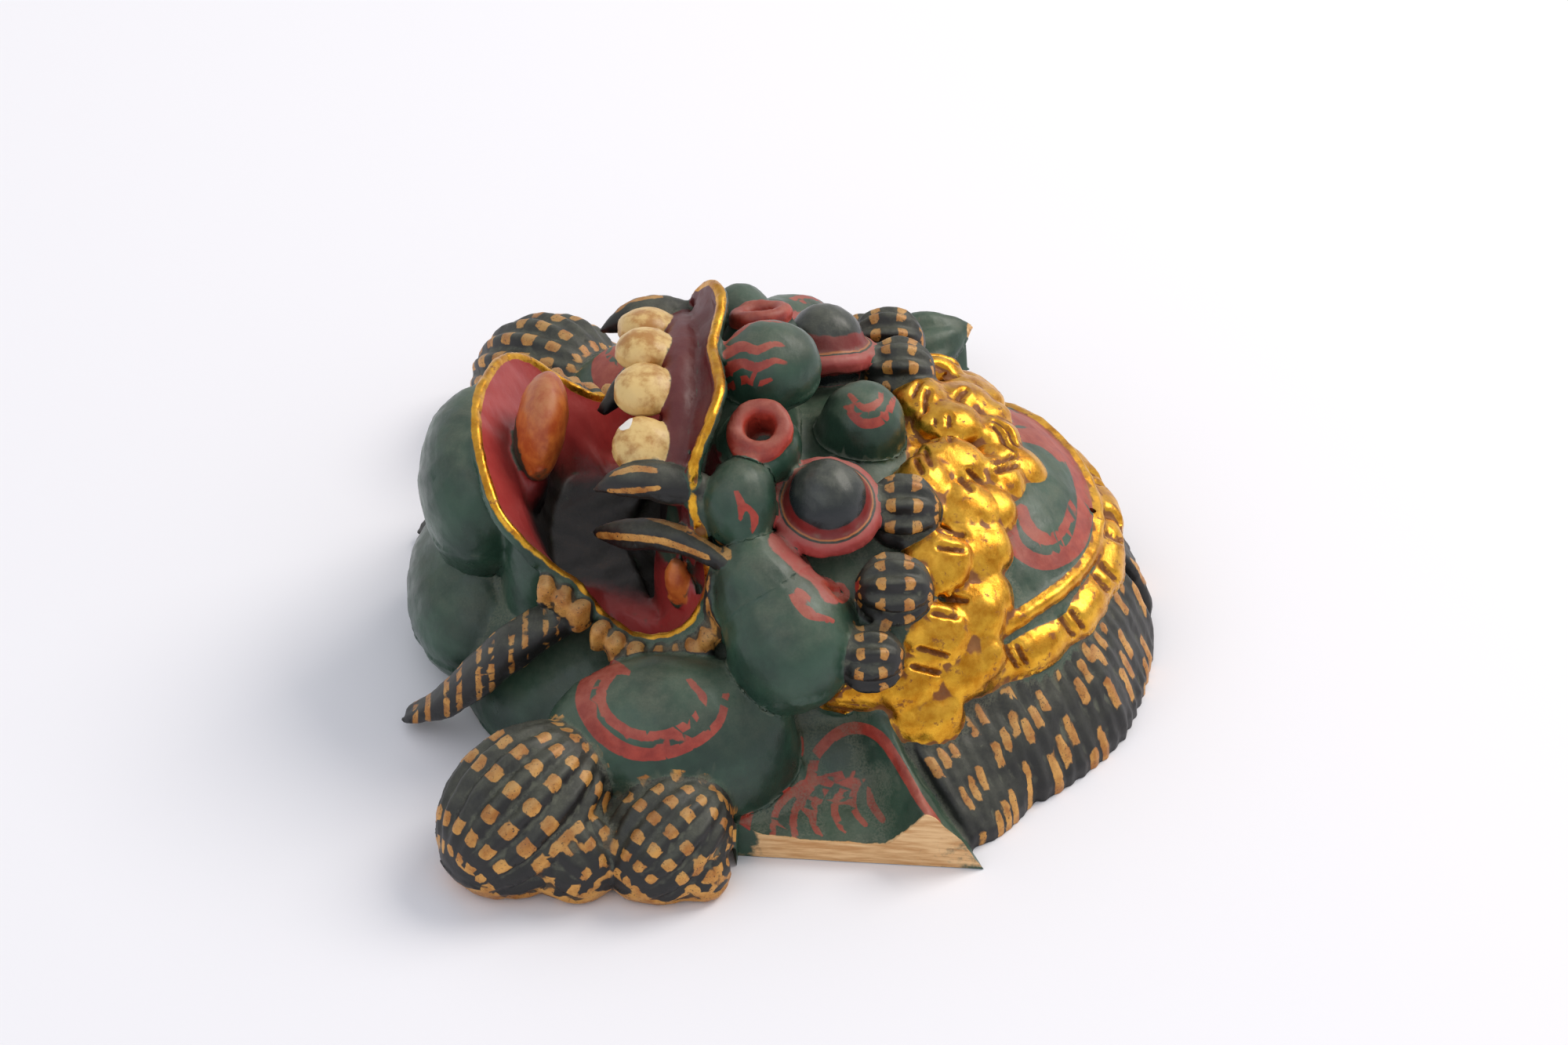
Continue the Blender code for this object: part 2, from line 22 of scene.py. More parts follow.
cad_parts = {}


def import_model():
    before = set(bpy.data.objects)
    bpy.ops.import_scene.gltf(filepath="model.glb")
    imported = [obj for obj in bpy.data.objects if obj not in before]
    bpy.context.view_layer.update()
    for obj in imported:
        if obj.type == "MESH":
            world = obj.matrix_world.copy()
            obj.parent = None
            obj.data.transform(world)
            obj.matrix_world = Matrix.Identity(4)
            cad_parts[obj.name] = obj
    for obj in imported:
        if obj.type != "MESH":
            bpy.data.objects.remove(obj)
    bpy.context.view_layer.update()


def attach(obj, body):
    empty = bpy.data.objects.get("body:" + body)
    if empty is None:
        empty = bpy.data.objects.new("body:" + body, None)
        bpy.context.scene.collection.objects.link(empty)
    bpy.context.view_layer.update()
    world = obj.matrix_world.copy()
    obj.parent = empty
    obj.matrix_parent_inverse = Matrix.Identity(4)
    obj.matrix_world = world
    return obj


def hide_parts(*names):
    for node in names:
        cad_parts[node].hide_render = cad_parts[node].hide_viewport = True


LOG = logging.getLogger("barong mask")
Socket = bpy.types.NodeSocket
MM = 0.001
VOXEL = 0.72 * MM
MOST_TRIANGLES = 194000
CAMERA_AT = (0.0, -0.99286, 0.83964)
CAMERA_DOWN_DEG = 39.0
LENS = 117.0
FOCAL_PX = 6500.0
PICTURE_CENTRE = (1000.0, 666.5)
PX_PER_MM = 5.0
FAR = 30.0
BREAK_MIDDLE = (26.0, -87.2, 40.0)
BREAK_SLANT_DEG = -4.7
BREAK_FROM_X = -11.0
BREAK_BLOCK = (74.5, 40.0, 90.0)
NAIL_HOLE_AT = (78.2, 0.0, 41.5)
NAIL_HOLE_RADIUS = 0.95
NAIL_HOLE_DEPTH = 12.0
HAIR_CENTRE_X = 20.0


class Paint(Enum):
    """The finishes of the mask, by what covers the wood."""

    GREEN = "green"
    BLACK = "black"
    RED = "red"
    MAROON = "maroon"
    CREAM = "cream"
    TONGUE = "tongue"
    GOLD = "gold"


@dataclass(frozen=True)
class Ball:
    """An ellipsoid, plain or ribbed from pole to pole.

    Args:
        name: what the form is.
        paint: its finish.
        at: centre.
        half: half sizes.
        turn: three angles in degrees, or the way that its local +Z points.
        along: whether the turn is that way.
        ribs: how many ribs run from pole to pole.
        depth: how deep the grooves are, as a share of the radius.
        boxy: below 1 the ellipsoid is squared off towards a block.
    """

    name: str
    paint: Paint
    at: tuple
    half: tuple
    turn: tuple = (0.0, 0.0, 0.0)
    along: bool = False
    ribs: int = 0
    depth: float = 0.0
    boxy: float = 1.0

    def frame(self) -> Matrix:
        """Returns: the placing matrix in millimetres."""
        if self.along:
            angles = Vector(self.turn).to_track_quat("Z", "Y")
        else:
            angles = Euler([math.radians(a) for a in self.turn])
        return Matrix.LocRotScale(Vector(self.at), angles, Vector(self.half))

    def local(self, points: np.ndarray) -> np.ndarray:
        """Points in the ball's own unit frame.

        Args:
            points: places in millimetres.
        Returns:
            the same places, where the ball has radius 1.
        """
        turned = np.array(self.frame().inverted())
        return points @ turned[:3, :3].T + turned[:3, 3]

    def distance(self, points: np.ndarray) -> np.ndarray:
        """Args: points in mm. Returns: about how far each is outside the surface."""
        unit = self.local(points)
        k0 = np.linalg.norm(unit, axis=1)
        k1 = np.linalg.norm(unit / np.array(self.half), axis=1)
        return k0 * (k0 - 1.0) / np.maximum(k1, 1e-6)

    def build(self) -> bpy.types.Object:
        """Returns: the mesh object of the form."""
        segments = max(40, 12 * self.ribs)
        bpy.ops.mesh.primitive_uv_sphere_add(segments=segments, ring_count=28, radius=1.0)
        obj = bpy.context.object
        points = read_points(obj)
        if self.ribs:
            around = np.hypot(points[:, 0], points[:, 1])
            angle = np.arctan2(points[:, 1], points[:, 0])
            groove = np.abs(np.sin(self.ribs * angle / 2.0)) ** 0.8
            pull = 1.0 + self.depth * (groove - 1.0) * np.minimum(around * 1.3, 1.0)
            points[:, 0] *= pull
            points[:, 1] *= pull
        points = np.sign(points) * np.abs(points) ** self.boxy
        placed = np.array(self.frame())
        write_points(obj, (points @ placed[:3, :3].T + placed[:3, 3]) * MM)
        return named(obj, self.name)


@dataclass(frozen=True)
class Bar:
    """A round bar along a path, with a radius at each point.

    Args:
        name: what the form is.
        paint: its finish.
        path: points of the path.
        radii: radius at each point.
        closed: whether the path returns to its start.
    """

    name: str
    paint: Paint
    path: tuple
    radii: tuple
    closed: bool = False

    def distance(self, points: np.ndarray) -> np.ndarray:
        """Args: points in mm. Returns: how far each is outside the bar."""
        return line_distance(points, np.array(self.path, float), self.closed, np.array(self.radii))

    def build(self) -> bpy.types.Object:
        """Returns: the mesh object of the form."""
        bpy.ops.curve.primitive_nurbs_path_add()
        obj = bpy.context.object
        curve = obj.data
        curve.splines.clear()
        spline = curve.splines.new("POLY")
        spline.points.add(len(self.path) - 1)
        spline.use_cyclic_u = self.closed
        for knot, point, radius in zip(spline.points, self.path, self.radii):
            knot.co = (*(Vector(point) * MM), 1.0)
            knot.radius = radius
        curve.bevel_depth = MM
        curve.bevel_resolution = 6
        curve.use_fill_caps = True
        bpy.ops.object.convert(target="MESH")
        turn_outwards(obj, weld=True)
        return named(obj, self.name)


@dataclass(frozen=True)
class Loft:
    """A body through rings of points.

    Args:
        name: what the form is.
        paint: its finish.
        rings: rings of equal length.
    """

    name: str
    paint: Paint
    rings: tuple

    def build(self) -> bpy.types.Object:
        """Returns: the mesh object of the form."""
        count = len(self.rings[0])
        points = [tuple(Vector(p) * MM) for ring in self.rings for p in ring]
        faces = []
        for k in range(len(self.rings) - 1):
            for i in range(count):
                j = (i + 1) % count
                faces.append((k * count + i, k * count + j, (k + 1) * count + j, (k + 1) * count + i))
        for k in (0, len(self.rings) - 1):
            hub = sum((Vector(p) for p in self.rings[k]), Vector()) / count
            points.append(tuple(hub * MM))
            for i in range(count):
                faces.append((k * count + i, k * count + (i + 1) % count, len(points) - 1))
        mesh = bpy.data.meshes.new(self.name)
        mesh.from_pydata(points, [], faces)
        obj = bpy.data.objects.new(self.name, mesh)
        bpy.context.scene.collection.objects.link(obj)
        turn_outwards(obj)
        return obj

    def distance(self, points: np.ndarray) -> np.ndarray:
        """Args: points in mm. Returns: how far each is from the surface."""
        obj = self.build()
        mesh = obj.data
        tree = BVHTree.FromPolygons([v.co / MM for v in mesh.vertices], [p.vertices for p in mesh.polygons])
        found = np.full(len(points), FAR)
        box = read_points(obj) / MM
        low, high = box.min(axis=0) - 6.0, box.max(axis=0) + 6.0
        near = np.flatnonzero(((points > low) & (points < high)).all(axis=1))
        for i in near:
            gap = tree.find_nearest(points[i], 6.0)[3]
            if gap is not None:
                found[i] = gap
        bpy.data.objects.remove(obj)
        return found


def read_points(obj: bpy.types.Object) -> np.ndarray:
    """Args: a mesh object. Returns: its vertices as an array."""
    flat = np.empty(len(obj.data.vertices) * 3, np.float32)
    obj.data.vertices.foreach_get("co", flat)
    return flat.reshape(-1, 3).astype(float)


def write_points(obj: bpy.types.Object, points: np.ndarray) -> None:
    """Args: a mesh object, and where its vertices go."""
    obj.data.vertices.foreach_set("co", points.astype(np.float32).ravel())
    obj.data.update()


def read_normals(obj: bpy.types.Object) -> np.ndarray:
    """Args: a mesh object. Returns: its vertex normals as an array."""
    flat = np.empty(len(obj.data.vertices) * 3, np.float32)
    obj.data.vertex_normals.foreach_get("vector", flat)
    return flat.reshape(-1, 3).astype(float)


def named(obj: bpy.types.Object, name: str) -> bpy.types.Object:
    """Args: an object and its name. Returns: the object."""
    obj.name = name
    return obj


def select_only(objects: list) -> None:
    """Args: the objects to select. The first becomes active."""
    bpy.ops.object.select_all(action="DESELECT")
    for obj in objects:
        obj.select_set(True)
    bpy.context.view_layer.objects.active = objects[0]


def turn_outwards(obj: bpy.types.Object, weld: bool = False) -> None:
    """Args: a closed mesh object, and whether its doubled points are made one."""
    select_only([obj])
    bpy.ops.object.mode_set(mode="EDIT")
    bpy.ops.mesh.select_all(action="SELECT")
    if weld:
        bpy.ops.mesh.remove_doubles(threshold=1e-6)
    bpy.ops.mesh.normals_make_consistent(inside=False)
    bpy.ops.object.mode_set(mode="OBJECT")


def apply_modifier(obj: bpy.types.Object, kind: str, **settings) -> None:
    """Adds a modifier and applies it.

    Args:
        obj: the mesh object.
        kind: the modifier's type.
        settings: its properties.
    """
    select_only([obj])
    bpy.ops.object.modifier_add(type=kind)
    modifier = obj.modifiers[-1]
    for key, value in settings.items():
        setattr(modifier, key, value)
    bpy.ops.object.modifier_apply(modifier=modifier.name)


def joined(objects: list, name: str) -> bpy.types.Object:
    """Joins closed bodies and gives them one surface.

    Args:
        objects: the bodies.
        name: the name of the result.
    Returns:
        the object.
    """
    select_only(objects)
    if len(objects) > 1:
        bpy.ops.object.join()
    obj = named(bpy.context.object, name)
    apply_modifier(obj, "REMESH", mode="VOXEL", voxel_size=VOXEL)
    return obj


def line_distance(
    points: np.ndarray, line: np.ndarray, closed: bool = False, radii: np.ndarray | None = None
) -> np.ndarray:
    """Distance from points to a path.

    Args:
        points: places, one in each row.
        line: the path's points.
        closed: whether the path returns to its start.
        radii: a radius at each point of the path, taken off the distance.
    Returns:
        the distance of each place.
    """
    best = np.full(len(points), 1e3)
    last = len(line) if closed else len(line) - 1
    for k in range(last):
        a, b = line[k], line[(k + 1) % len(line)]
        way = b - a
        t = np.clip((points - a) @ way / max(way @ way, 1e-9), 0.0, 1.0)
        gap = np.linalg.norm(points - a - t[:, None] * way, axis=1)
        if radii is not None:
            gap = gap - (radii[k] + t * (radii[(k + 1) % len(line)] - radii[k]))
        best = np.minimum(best, gap)
    return best


def smooth_path(points: list, between: int) -> list:
    """Args: points, and how many to make between two. Returns: a Catmull-Rom path."""
    pts = [Vector(p) for p in points]
    line = []
    for i in range(len(pts) - 1):
        a, b = pts[max(i - 1, 0)], pts[i]
        c, d = pts[i + 1], pts[min(i + 2, len(pts) - 1)]
        for k in range(between):
            t = k / between
            cubic = (3 * b - a - 3 * c + d) * t**3
            line.append(0.5 * (2 * b + (c - a) * t + (2 * a - 5 * b + 4 * c - d) * t**2 + cubic))
    line.append(pts[-1])
    return line


def horn(name: str, paint: Paint, points: list, radii: list, between: int = 6) -> Bar:
    """Args: the name, finish, points and radii. Returns: a smooth tapering bar."""
    path = smooth_path(points, between)
    along = smooth_path([(r, 0, 0) for r in radii], between)
    return Bar(name, paint, tuple(tuple(p) for p in path), tuple(max(a.x, 0.3) for a in along))


def flipped(point: tuple | Vector) -> tuple:
    """Args: a point. Returns: its mirror image on the other side."""
    return (point[0], -point[1], point[2])


def both(form: Ball | Bar | Loft) -> list:
    """Args: a form on the near side. Returns: it and its mirror image."""
    if isinstance(form, Ball):
        x, y, z = form.turn
        turned = (x, -y, z) if form.along else (-x, y, -z)
        other = replace(form, at=flipped(form.at), turn=turned)
    elif isinstance(form, Bar):
        other = replace(form, path=tuple(map(flipped, form.path)))
    else:
        other = replace(form, rings=tuple(tuple(map(flipped, ring)) for ring in form.rings))
    return [form, other]


def project(points: np.ndarray) -> np.ndarray:
    """Args: places in mm. Returns: where the camera sees them, in pixels."""
    down = math.radians(CAMERA_DOWN_DEG)
    ahead = np.array([0.0, math.cos(down), -math.sin(down)])
    up = np.array([0.0, math.sin(down), math.cos(down)])
    away = points * MM - np.array(CAMERA_AT)
    depth = away @ ahead
    across = PICTURE_CENTRE[0] + FOCAL_PX * away[:, 0] / depth
    return np.stack([across, PICTURE_CENTRE[1] - FOCAL_PX * (away @ up) / depth], axis=1)


def seen(points: np.ndarray, normals: np.ndarray, mirror: bool) -> tuple:
    """Where the camera sees the vertices.

    Args:
        points: the vertices in mm.
        normals: their normals.
        mirror: whether the far side is folded onto the near side first.
    Returns:
        their places in pixels, and how far their normals face the camera.
    """
    if mirror:
        sides = np.ones_like(points)
        sides[points[:, 1] > 0, 1] = -1.0
        points, normals = points * sides, normals * sides
    towards = np.array(CAMERA_AT) / MM - points
    towards /= np.linalg.norm(towards, axis=1)[:, None]
    return project(points), (towards * normals).sum(axis=1)


LIP_NEAR = (
    (-75.8, 0.0, 69.6), (-75.0, -10.0, 69.3), (-72.6, -21.5, 67.2), (-69.6, -30.0, 64.1),
    (-64.5, -35.2, 58.8), (-57.0, -37.0, 51.5), (-50.0, -38.0, 46.0), (-43.5, -42.8, 40.5),
    (-36.0, -46.3, 37.3), (-28.0, -47.4, 37.8), (-21.8, -47.4, 43.0), (-18.6, -46.0, 50.5),
    (-18.8, -42.2, 59.0), (-21.2, -38.2, 67.5), (-22.2, -35.8, 75.0), (-20.8, -32.6, 83.0),
    (-17.6, -27.0, 89.3), (-15.6, -18.0, 91.2), (-16.6, -8.0, 90.6), (-17.8, 0.0, 90.2),
)


def lip_loop() -> list:
    """Returns: the closed edge of the mouth, near side first."""
    near = smooth_path(LIP_NEAR, 4)
    return near + [Vector(flipped(p)) for p in reversed(near[1:-1])]


def shifted(point: Vector, inward: float, drop: float) -> Vector:
    """Args: a lip point, and how far to move it inwards and down. Returns: the new place."""
    spine = Vector((-44.0, point.y * 0.45, point.z))
    return point + (spine - point).normalized() * inward - Vector((0, 0, drop))


def upper_share(point: Vector) -> float:
    """Args: a lip point. Returns: 0 on the lower lip, 1 on the upper lip."""
    t = min(max((point.x + 50.0) / 25.0, 0.0), 1.0)
    return t * t * (3 - 2 * t) * min(max((point.z - 48.0) / 25.0, 0.0), 1.0)


HOLLOWS = (
    Ball("hollow brow", Paint.GREEN, (22, 0, -1), (45, 47, 36)),
    Ball("hollow jaw", Paint.GREEN, (-40, 0, -1), (38, 44, 16)),
)


@dataclass
class Jaws:
    """The chin, the jaw that carries the lips, and the cut of the mouth."""

    edge: float = 1.9

    def forms(self) -> list:
        """Returns: the forms."""
        loop = lip_loop()
        rings = (
            [shifted(p, 0.3, 0.0) for p in loop],
            [shifted(p, 0.5, self.edge) for p in loop],
            [shifted(p, 4.0, 6.0) for p in loop],
            [shifted(p, 3.5, max(8.0, 0.45 * p.z)) for p in loop],
            [Vector((*shifted(p, 0.0, 0.0).xy, -4.0)) for p in loop],
        )
        return [
            Ball("chin upper", Paint.GREEN, (-75.0, 0, 50), (16, 25, 22)),
            Ball("chin lower", Paint.GREEN, (-75.5, 0, 15.5), (20, 31, 20)),
            Ball("jaw base", Paint.GREEN, (-46, 0, 8), (40, 58, 30)),
            Loft("jaw", Paint.GREEN, tuple(tuple(r) for r in rings)),
            Bar("lip edge", Paint.GOLD, tuple(tuple(p) for p in loop), (self.edge,) * len(loop), True),
        ]

    def cut(self) -> Loft:
        """Returns: the body that hollows the mouth."""
        loop = lip_loop()
        above = [shifted(p, -4.0, -18.0) for p in loop]
        rim = [shifted(p, 0.55 * self.edge, -0.4) for p in loop]
        flare, floor = [], []
        for p in loop:
            up = upper_share(p)
            flare.append(shifted(p, 9.0 + 2.5 * up, 10.0 - 4.0 * up))
            deep = shifted(p, 17.0 - 3.0 * up, 0.0)
            floor.append(Vector((deep.x, deep.y, 27.0 + 6.0 * (1.0 - up))))
        return Loft("mouth", Paint.RED, tuple(tuple(r) for r in (above, rim, flare, floor)))


@dataclass
class MouthParts:
    """Teeth, fangs, tusks and tongue, left standing when the mouth was hollowed."""

    tooth_width: float = 16.0
    tooth_length: float = 11.8

    def gum_height(self, y: float) -> float:
        """Args: a place across the mouth. Returns: the height of the row of teeth."""
        return 84.6 - 0.0100 * y * y

    def forms(self) -> list:
        """Returns: the forms."""
        made = []
        gum = [(-25.0, y, self.gum_height(y) - 1.5) for y in range(-33, 34, 3)]
        made.append(Bar("gum", Paint.MAROON, tuple(gum), (4.6,) * len(gum)))
        half = self.tooth_width / 2
        for k in range(4):
            y = (k - 1.5) * 2 * half
            slope = math.degrees(math.atan(-0.02 * y))
            size = (self.tooth_length / 2 + 1.6, 0.96 * half, 4.8)
            at = (-28.2 - self.tooth_length / 2, y, self.gum_height(y))
            made.append(Ball("tooth", Paint.CREAM, at, size, (slope, 0, 0)))
        fang = [(-19.6, -33.4, 72.6), (-31.6, -33.7, 75.9), (-39.7, -32.9, 75.1), (-46, -31.9, 71.5)]
        made += both(horn("fang", Paint.BLACK, fang, [4.3, 4.7, 3.3, 0.6]))
        tusk = [(-46, -24, 52), (-38, -31, 57.5), (-27, -38, 62), (-17, -45, 62), (-9.5, -49, 61)]
        made += both(horn("tusk", Paint.BLACK, tusk, [1.3, 3.7, 3.6, 2.5, 2.2]))
        made += both(Ball("tusk bulb", Paint.CREAM, (-9.6, -49.2, 61), (3.2, 3.2, 3.0)))
        stump = [(-24, -37, 42), (-26, -38, 49), (-26, -38.5, 55)]
        made += both(horn("jaw tooth", Paint.TONGUE, stump, [3.6, 3.3, 1.4]))
        made.append(Ball("tongue", Paint.TONGUE, (-60, 0, 66.5), (6.4, 13.6, 13.5), (0, 12, 0)))
        made.append(Ball("tongue root", Paint.RED, (-64, 0, 50), (5.5, 12, 13), (0, 12, 0)))
        return made


def ring_path(at: tuple, normal: tuple, radius: float, count: int = 40) -> tuple:
    """Args: centre, normal and radius. Returns: the points of a circle."""
    frame = Matrix.LocRotScale(Vector(at), Vector(normal).to_track_quat("Z", "Y"), None)
    spots = []
    for k in range(count):
        a = 2 * math.pi * k / count
        spots.append(tuple(frame @ Vector((radius * math.cos(a), radius * math.sin(a), 0))))
    return tuple(spots)


@dataclass
class Face:
    """Nose, nostrils, eyes, brows and cheeks."""

    eye_at: tuple = (10.4, -31.6, 66.5)
    gaze: tuple = (0.02, -0.34, 0.94)
    nostril_at: tuple = (-5.8, -23.0, 83.4)
    nostril_way: tuple = (-0.12, -0.42, 0.90)

    def forms(self) -> list:
        """Returns: the forms."""
        green = Paint.GREEN
        made = [
            Ball("core", green, (0, 0, 12), (62, 60, 50)),
            Ball("snout", green, (-12, 0, 50), (16.5, 42, 30)),
            Ball("brow mass", green, (14, 0, 30), (36, 58, 34)),
            Ball("nose", green, (-3.3, 0, 85.0), (12.6, 11.4, 11.2)),
            Ball("forehead ball", green, (19.3, 0, 67.0), (10.5, 10.5, 10.8)),
        ]
        ring = ring_path(self.nostril_at, self.nostril_way, 6.0)
        lid = ring_path((10.2, -31.2, 66.0), self.gaze, 11.6)
        pairs = [
            Ball("nostril wing", green, (-5.2, -21, 76.5), (9.6, 9.6, 8.6)),
            Ball("lip knob", green, (-10.8, -36, 71.0), (8.8, 9.2, 10.5)),
            Bar("nostril", Paint.RED, ring, (2.2,) * len(ring), True),
            Ball("eye", Paint.BLACK, self.eye_at, (10.4, 10.4, 11.8)),
            Bar("lid", Paint.RED, lid, (2.3,) * len(lid), True),
            Ball("brow base", green, (28, -45.5, 27), (18.5, 14.5, 25)),
            Ball("cheek upper", green, (2.0, -57, 45), (15.5, 17, 16), (35, 0, 0)),
            Ball("cheek inner", green, (-6, -44, 50), (12, 13, 18), (30, 0, 0)),
            Ball("cheek lower", green, (-27.5, -65, 19.5), (31, 20, 22.5)),
            Ball("cheek base", green, (-22, -50, 4), (40, 32, 16)),
        ]
        brows = (
            ((29.0, -27.6, 61.6), (9.2, 9.8, 9.4)),
            ((26.6, -49.6, 55.2), (9.6, 9.2, 9.2)),
            ((21.0, -62.6, 44.0), (8.0, 8.2, 8.8)),
        )
        for k, (at, half) in enumerate(brows, 1):
            pairs.append(
                Ball(f"brow curl {k}", Paint.BLACK, at, half[::-1], (0, 90, 0), ribs=9, depth=0.42)
            )
        for form in pairs:
            made += both(form)
        return made

    def holes(self) -> list:
        """Returns: the bodies that hollow the nostrils and cut the slits by the eyes."""
        at, way = Vector(self.nostril_at), Vector(self.nostril_way).normalized()
        slit, out = Vector((13.4, -48.0, 53.4)), Vector((0, -0.6, 0.8))
        near = [
            Bar("nostril hole", Paint.RED, (tuple(at - way * 8.0), tuple(at + way * 6.0)), (3.0, 4.4)),
            Bar("slit", Paint.RED, (tuple(slit - out * 5), tuple(slit + out * 6)), (1.2, 3.9)),
        ]
        return near + [both(hole)[1] for hole in near]


@dataclass
class Beard:
    """The lock and the fringe beside the mouth, and the large curls of the beard."""

    blocks: int = 13
    curl_ribs: int = 22

    def forms(self) -> list:
        """Returns: the forms."""
        made = []
        lock = [(-52, -39, 40), (-64, -44, 35), (-74, -43, 24), (-84, -40, 12), (-94, -34.5, 3)]
        for k, (slide, fat) in enumerate(((-2.6, 0.66), (0.0, 0.74), (2.6, 0.66))):
            points = [(x + 0.35 * slide, y + 0.9 * slide, z - 0.25 * abs(slide)) for x, y, z in lock]
            radii = [fat * r for r in (5.6, 7.0, 6.4, 4.6, 1.4)]
            made += both(horn(f"beard lock {k}", Paint.BLACK, points, radii))
        line = smooth_path(LIP_NEAR[5:13], 8)
        for k in range(self.blocks):
            place = int((k + 0.5) / self.blocks * (len(line) - 1))
            spot = line[place]
            ahead = line[min(place + 1, len(line) - 1)] - spot
            out = shifted(spot, -4.4, 2.7)
            heading = math.degrees(math.atan2(ahead.y, ahead.x))
            block = Ball("fringe", Paint.BLACK, tuple(out), (2.0, 3.9, 4.0), (0, 0, heading), boxy=0.62)
            made += both(block)
        grain = (-0.62, -0.52, -0.42)
        cross = (0.70, -0.55, -0.45)
        black = Paint.BLACK
        curls = (
            Ball("beard curl", black, (-62.5, -84, 15.0), (19.4, 19.4, 23.5), grain, True, 18, 0.17),
            Ball("beard roll", black, (-52.0, -91, 9.0), (12.5, 13.5, 14.5), cross, True, 12, 0.17),
            Ball("jaw curl", black, (-28, -89.5, 11.0), (15.2, 14.4, 17.5), grain, True, 16, 0.17),
            Ball("jaw roll", black, (-22.5, -93.5, 6.5), (9.0, 9.5, 10.5), cross, True, 10, 0.17),
        )
        for curl in curls:
            made += both(curl)
        return made


@dataclass
class Ears:
    """A pointed, cupped ear on each side. The near one is cut back by the break."""

    def section(self, y: float, left: float, right: float, crest: tuple, heights: tuple) -> tuple:
        """One slice across the ear.

        Args:
            y: where the slice lies.
            left: its edge towards the chin.
            right: its edge towards the crown.
            crest: where its crest stands, and how high.
            heights: of the floor of the cup, of the edge towards the chin, and of the foot.
        Returns:
            the points of the slice.
        """
        crest_x, crest_z = crest
        dish_z, left_z, foot_z = heights
        start = left + 0.22 * (crest_x - left)
        stop = left + 0.80 * (crest_x - left)
        lip = (left + 1.5, y, left_z + 1.4)
        return (
            (left, y, foot_z),
            (left, y, left_z),
            lip,
            (start, y, dish_z + 0.35 * (left_z - dish_z)),
            (0.5 * (start + stop), y, dish_z - 0.6),
            (stop, y, dish_z),
            (crest_x - 1.2, y, crest_z - 0.6),
            (crest_x, y, crest_z),
            (0.5 * (crest_x + right), y, 0.62 * crest_z + 0.38 * foot_z),
            (right, y, foot_z + 1.0),
            (right - 1.0, y, foot_z),
        )

    def forms(self) -> list:
        """Returns: the forms."""
        slices = (
            self.section(-50, -14, 25, (18, 34), (26, 24, -3)),
            self.section(-61, -15, 32, (23, 28), (19, 18, -3)),
            self.section(-74, -14, 41, (30, 20), (9, 9, -3)),
            self.section(-88, -11.5, 49, (35, 16.5), (6, 5.5, -3)),
            self.section(-96, 8, 50, (40, 16), (9, 10, 2)),
            self.section(-101, 32, 50, (45, 18), (14, 15, 8)),
            self.section(-104, 46, 49.5, (48, 18.5), (17, 16.5, 14)),
        )
        rim = [(-12, -86, 8), (2, -92, 12), (20, -98, 17), (38, -102, 18)]
        edge = [(6, 90, 11), (22, 98, 18.5), (36, 102, 21), (44, 103.6, 20.4), (50.5, 104.4, 18.6)]
        made = both(Loft("ear", Paint.GREEN, slices))
        made += both(horn("ear rim", Paint.GREEN, rim, [3.0, 3.4, 3.2, 2.4]))
        made.append(horn("ear rim", Paint.GREEN, edge, [3.2, 3.8, 3.6, 2.6, 0.8]))
        crest = [(30, 74, 19), (38, 88, 16.5), (45, 98, 17), (49.5, 104, 18.4)]
        made.append(horn("ear rim", Paint.GREEN, crest, [2.6, 2.8, 2.6, 0.8]))
        filling = [(8, 86, 11), (24, 91, 16.5), (40, 97, 18.6), (48.5, 103, 18.8)]
        made.append(horn("ear rim", Paint.GREEN, filling, [4.5, 5.0, 4.2, 1.2]))
        return made


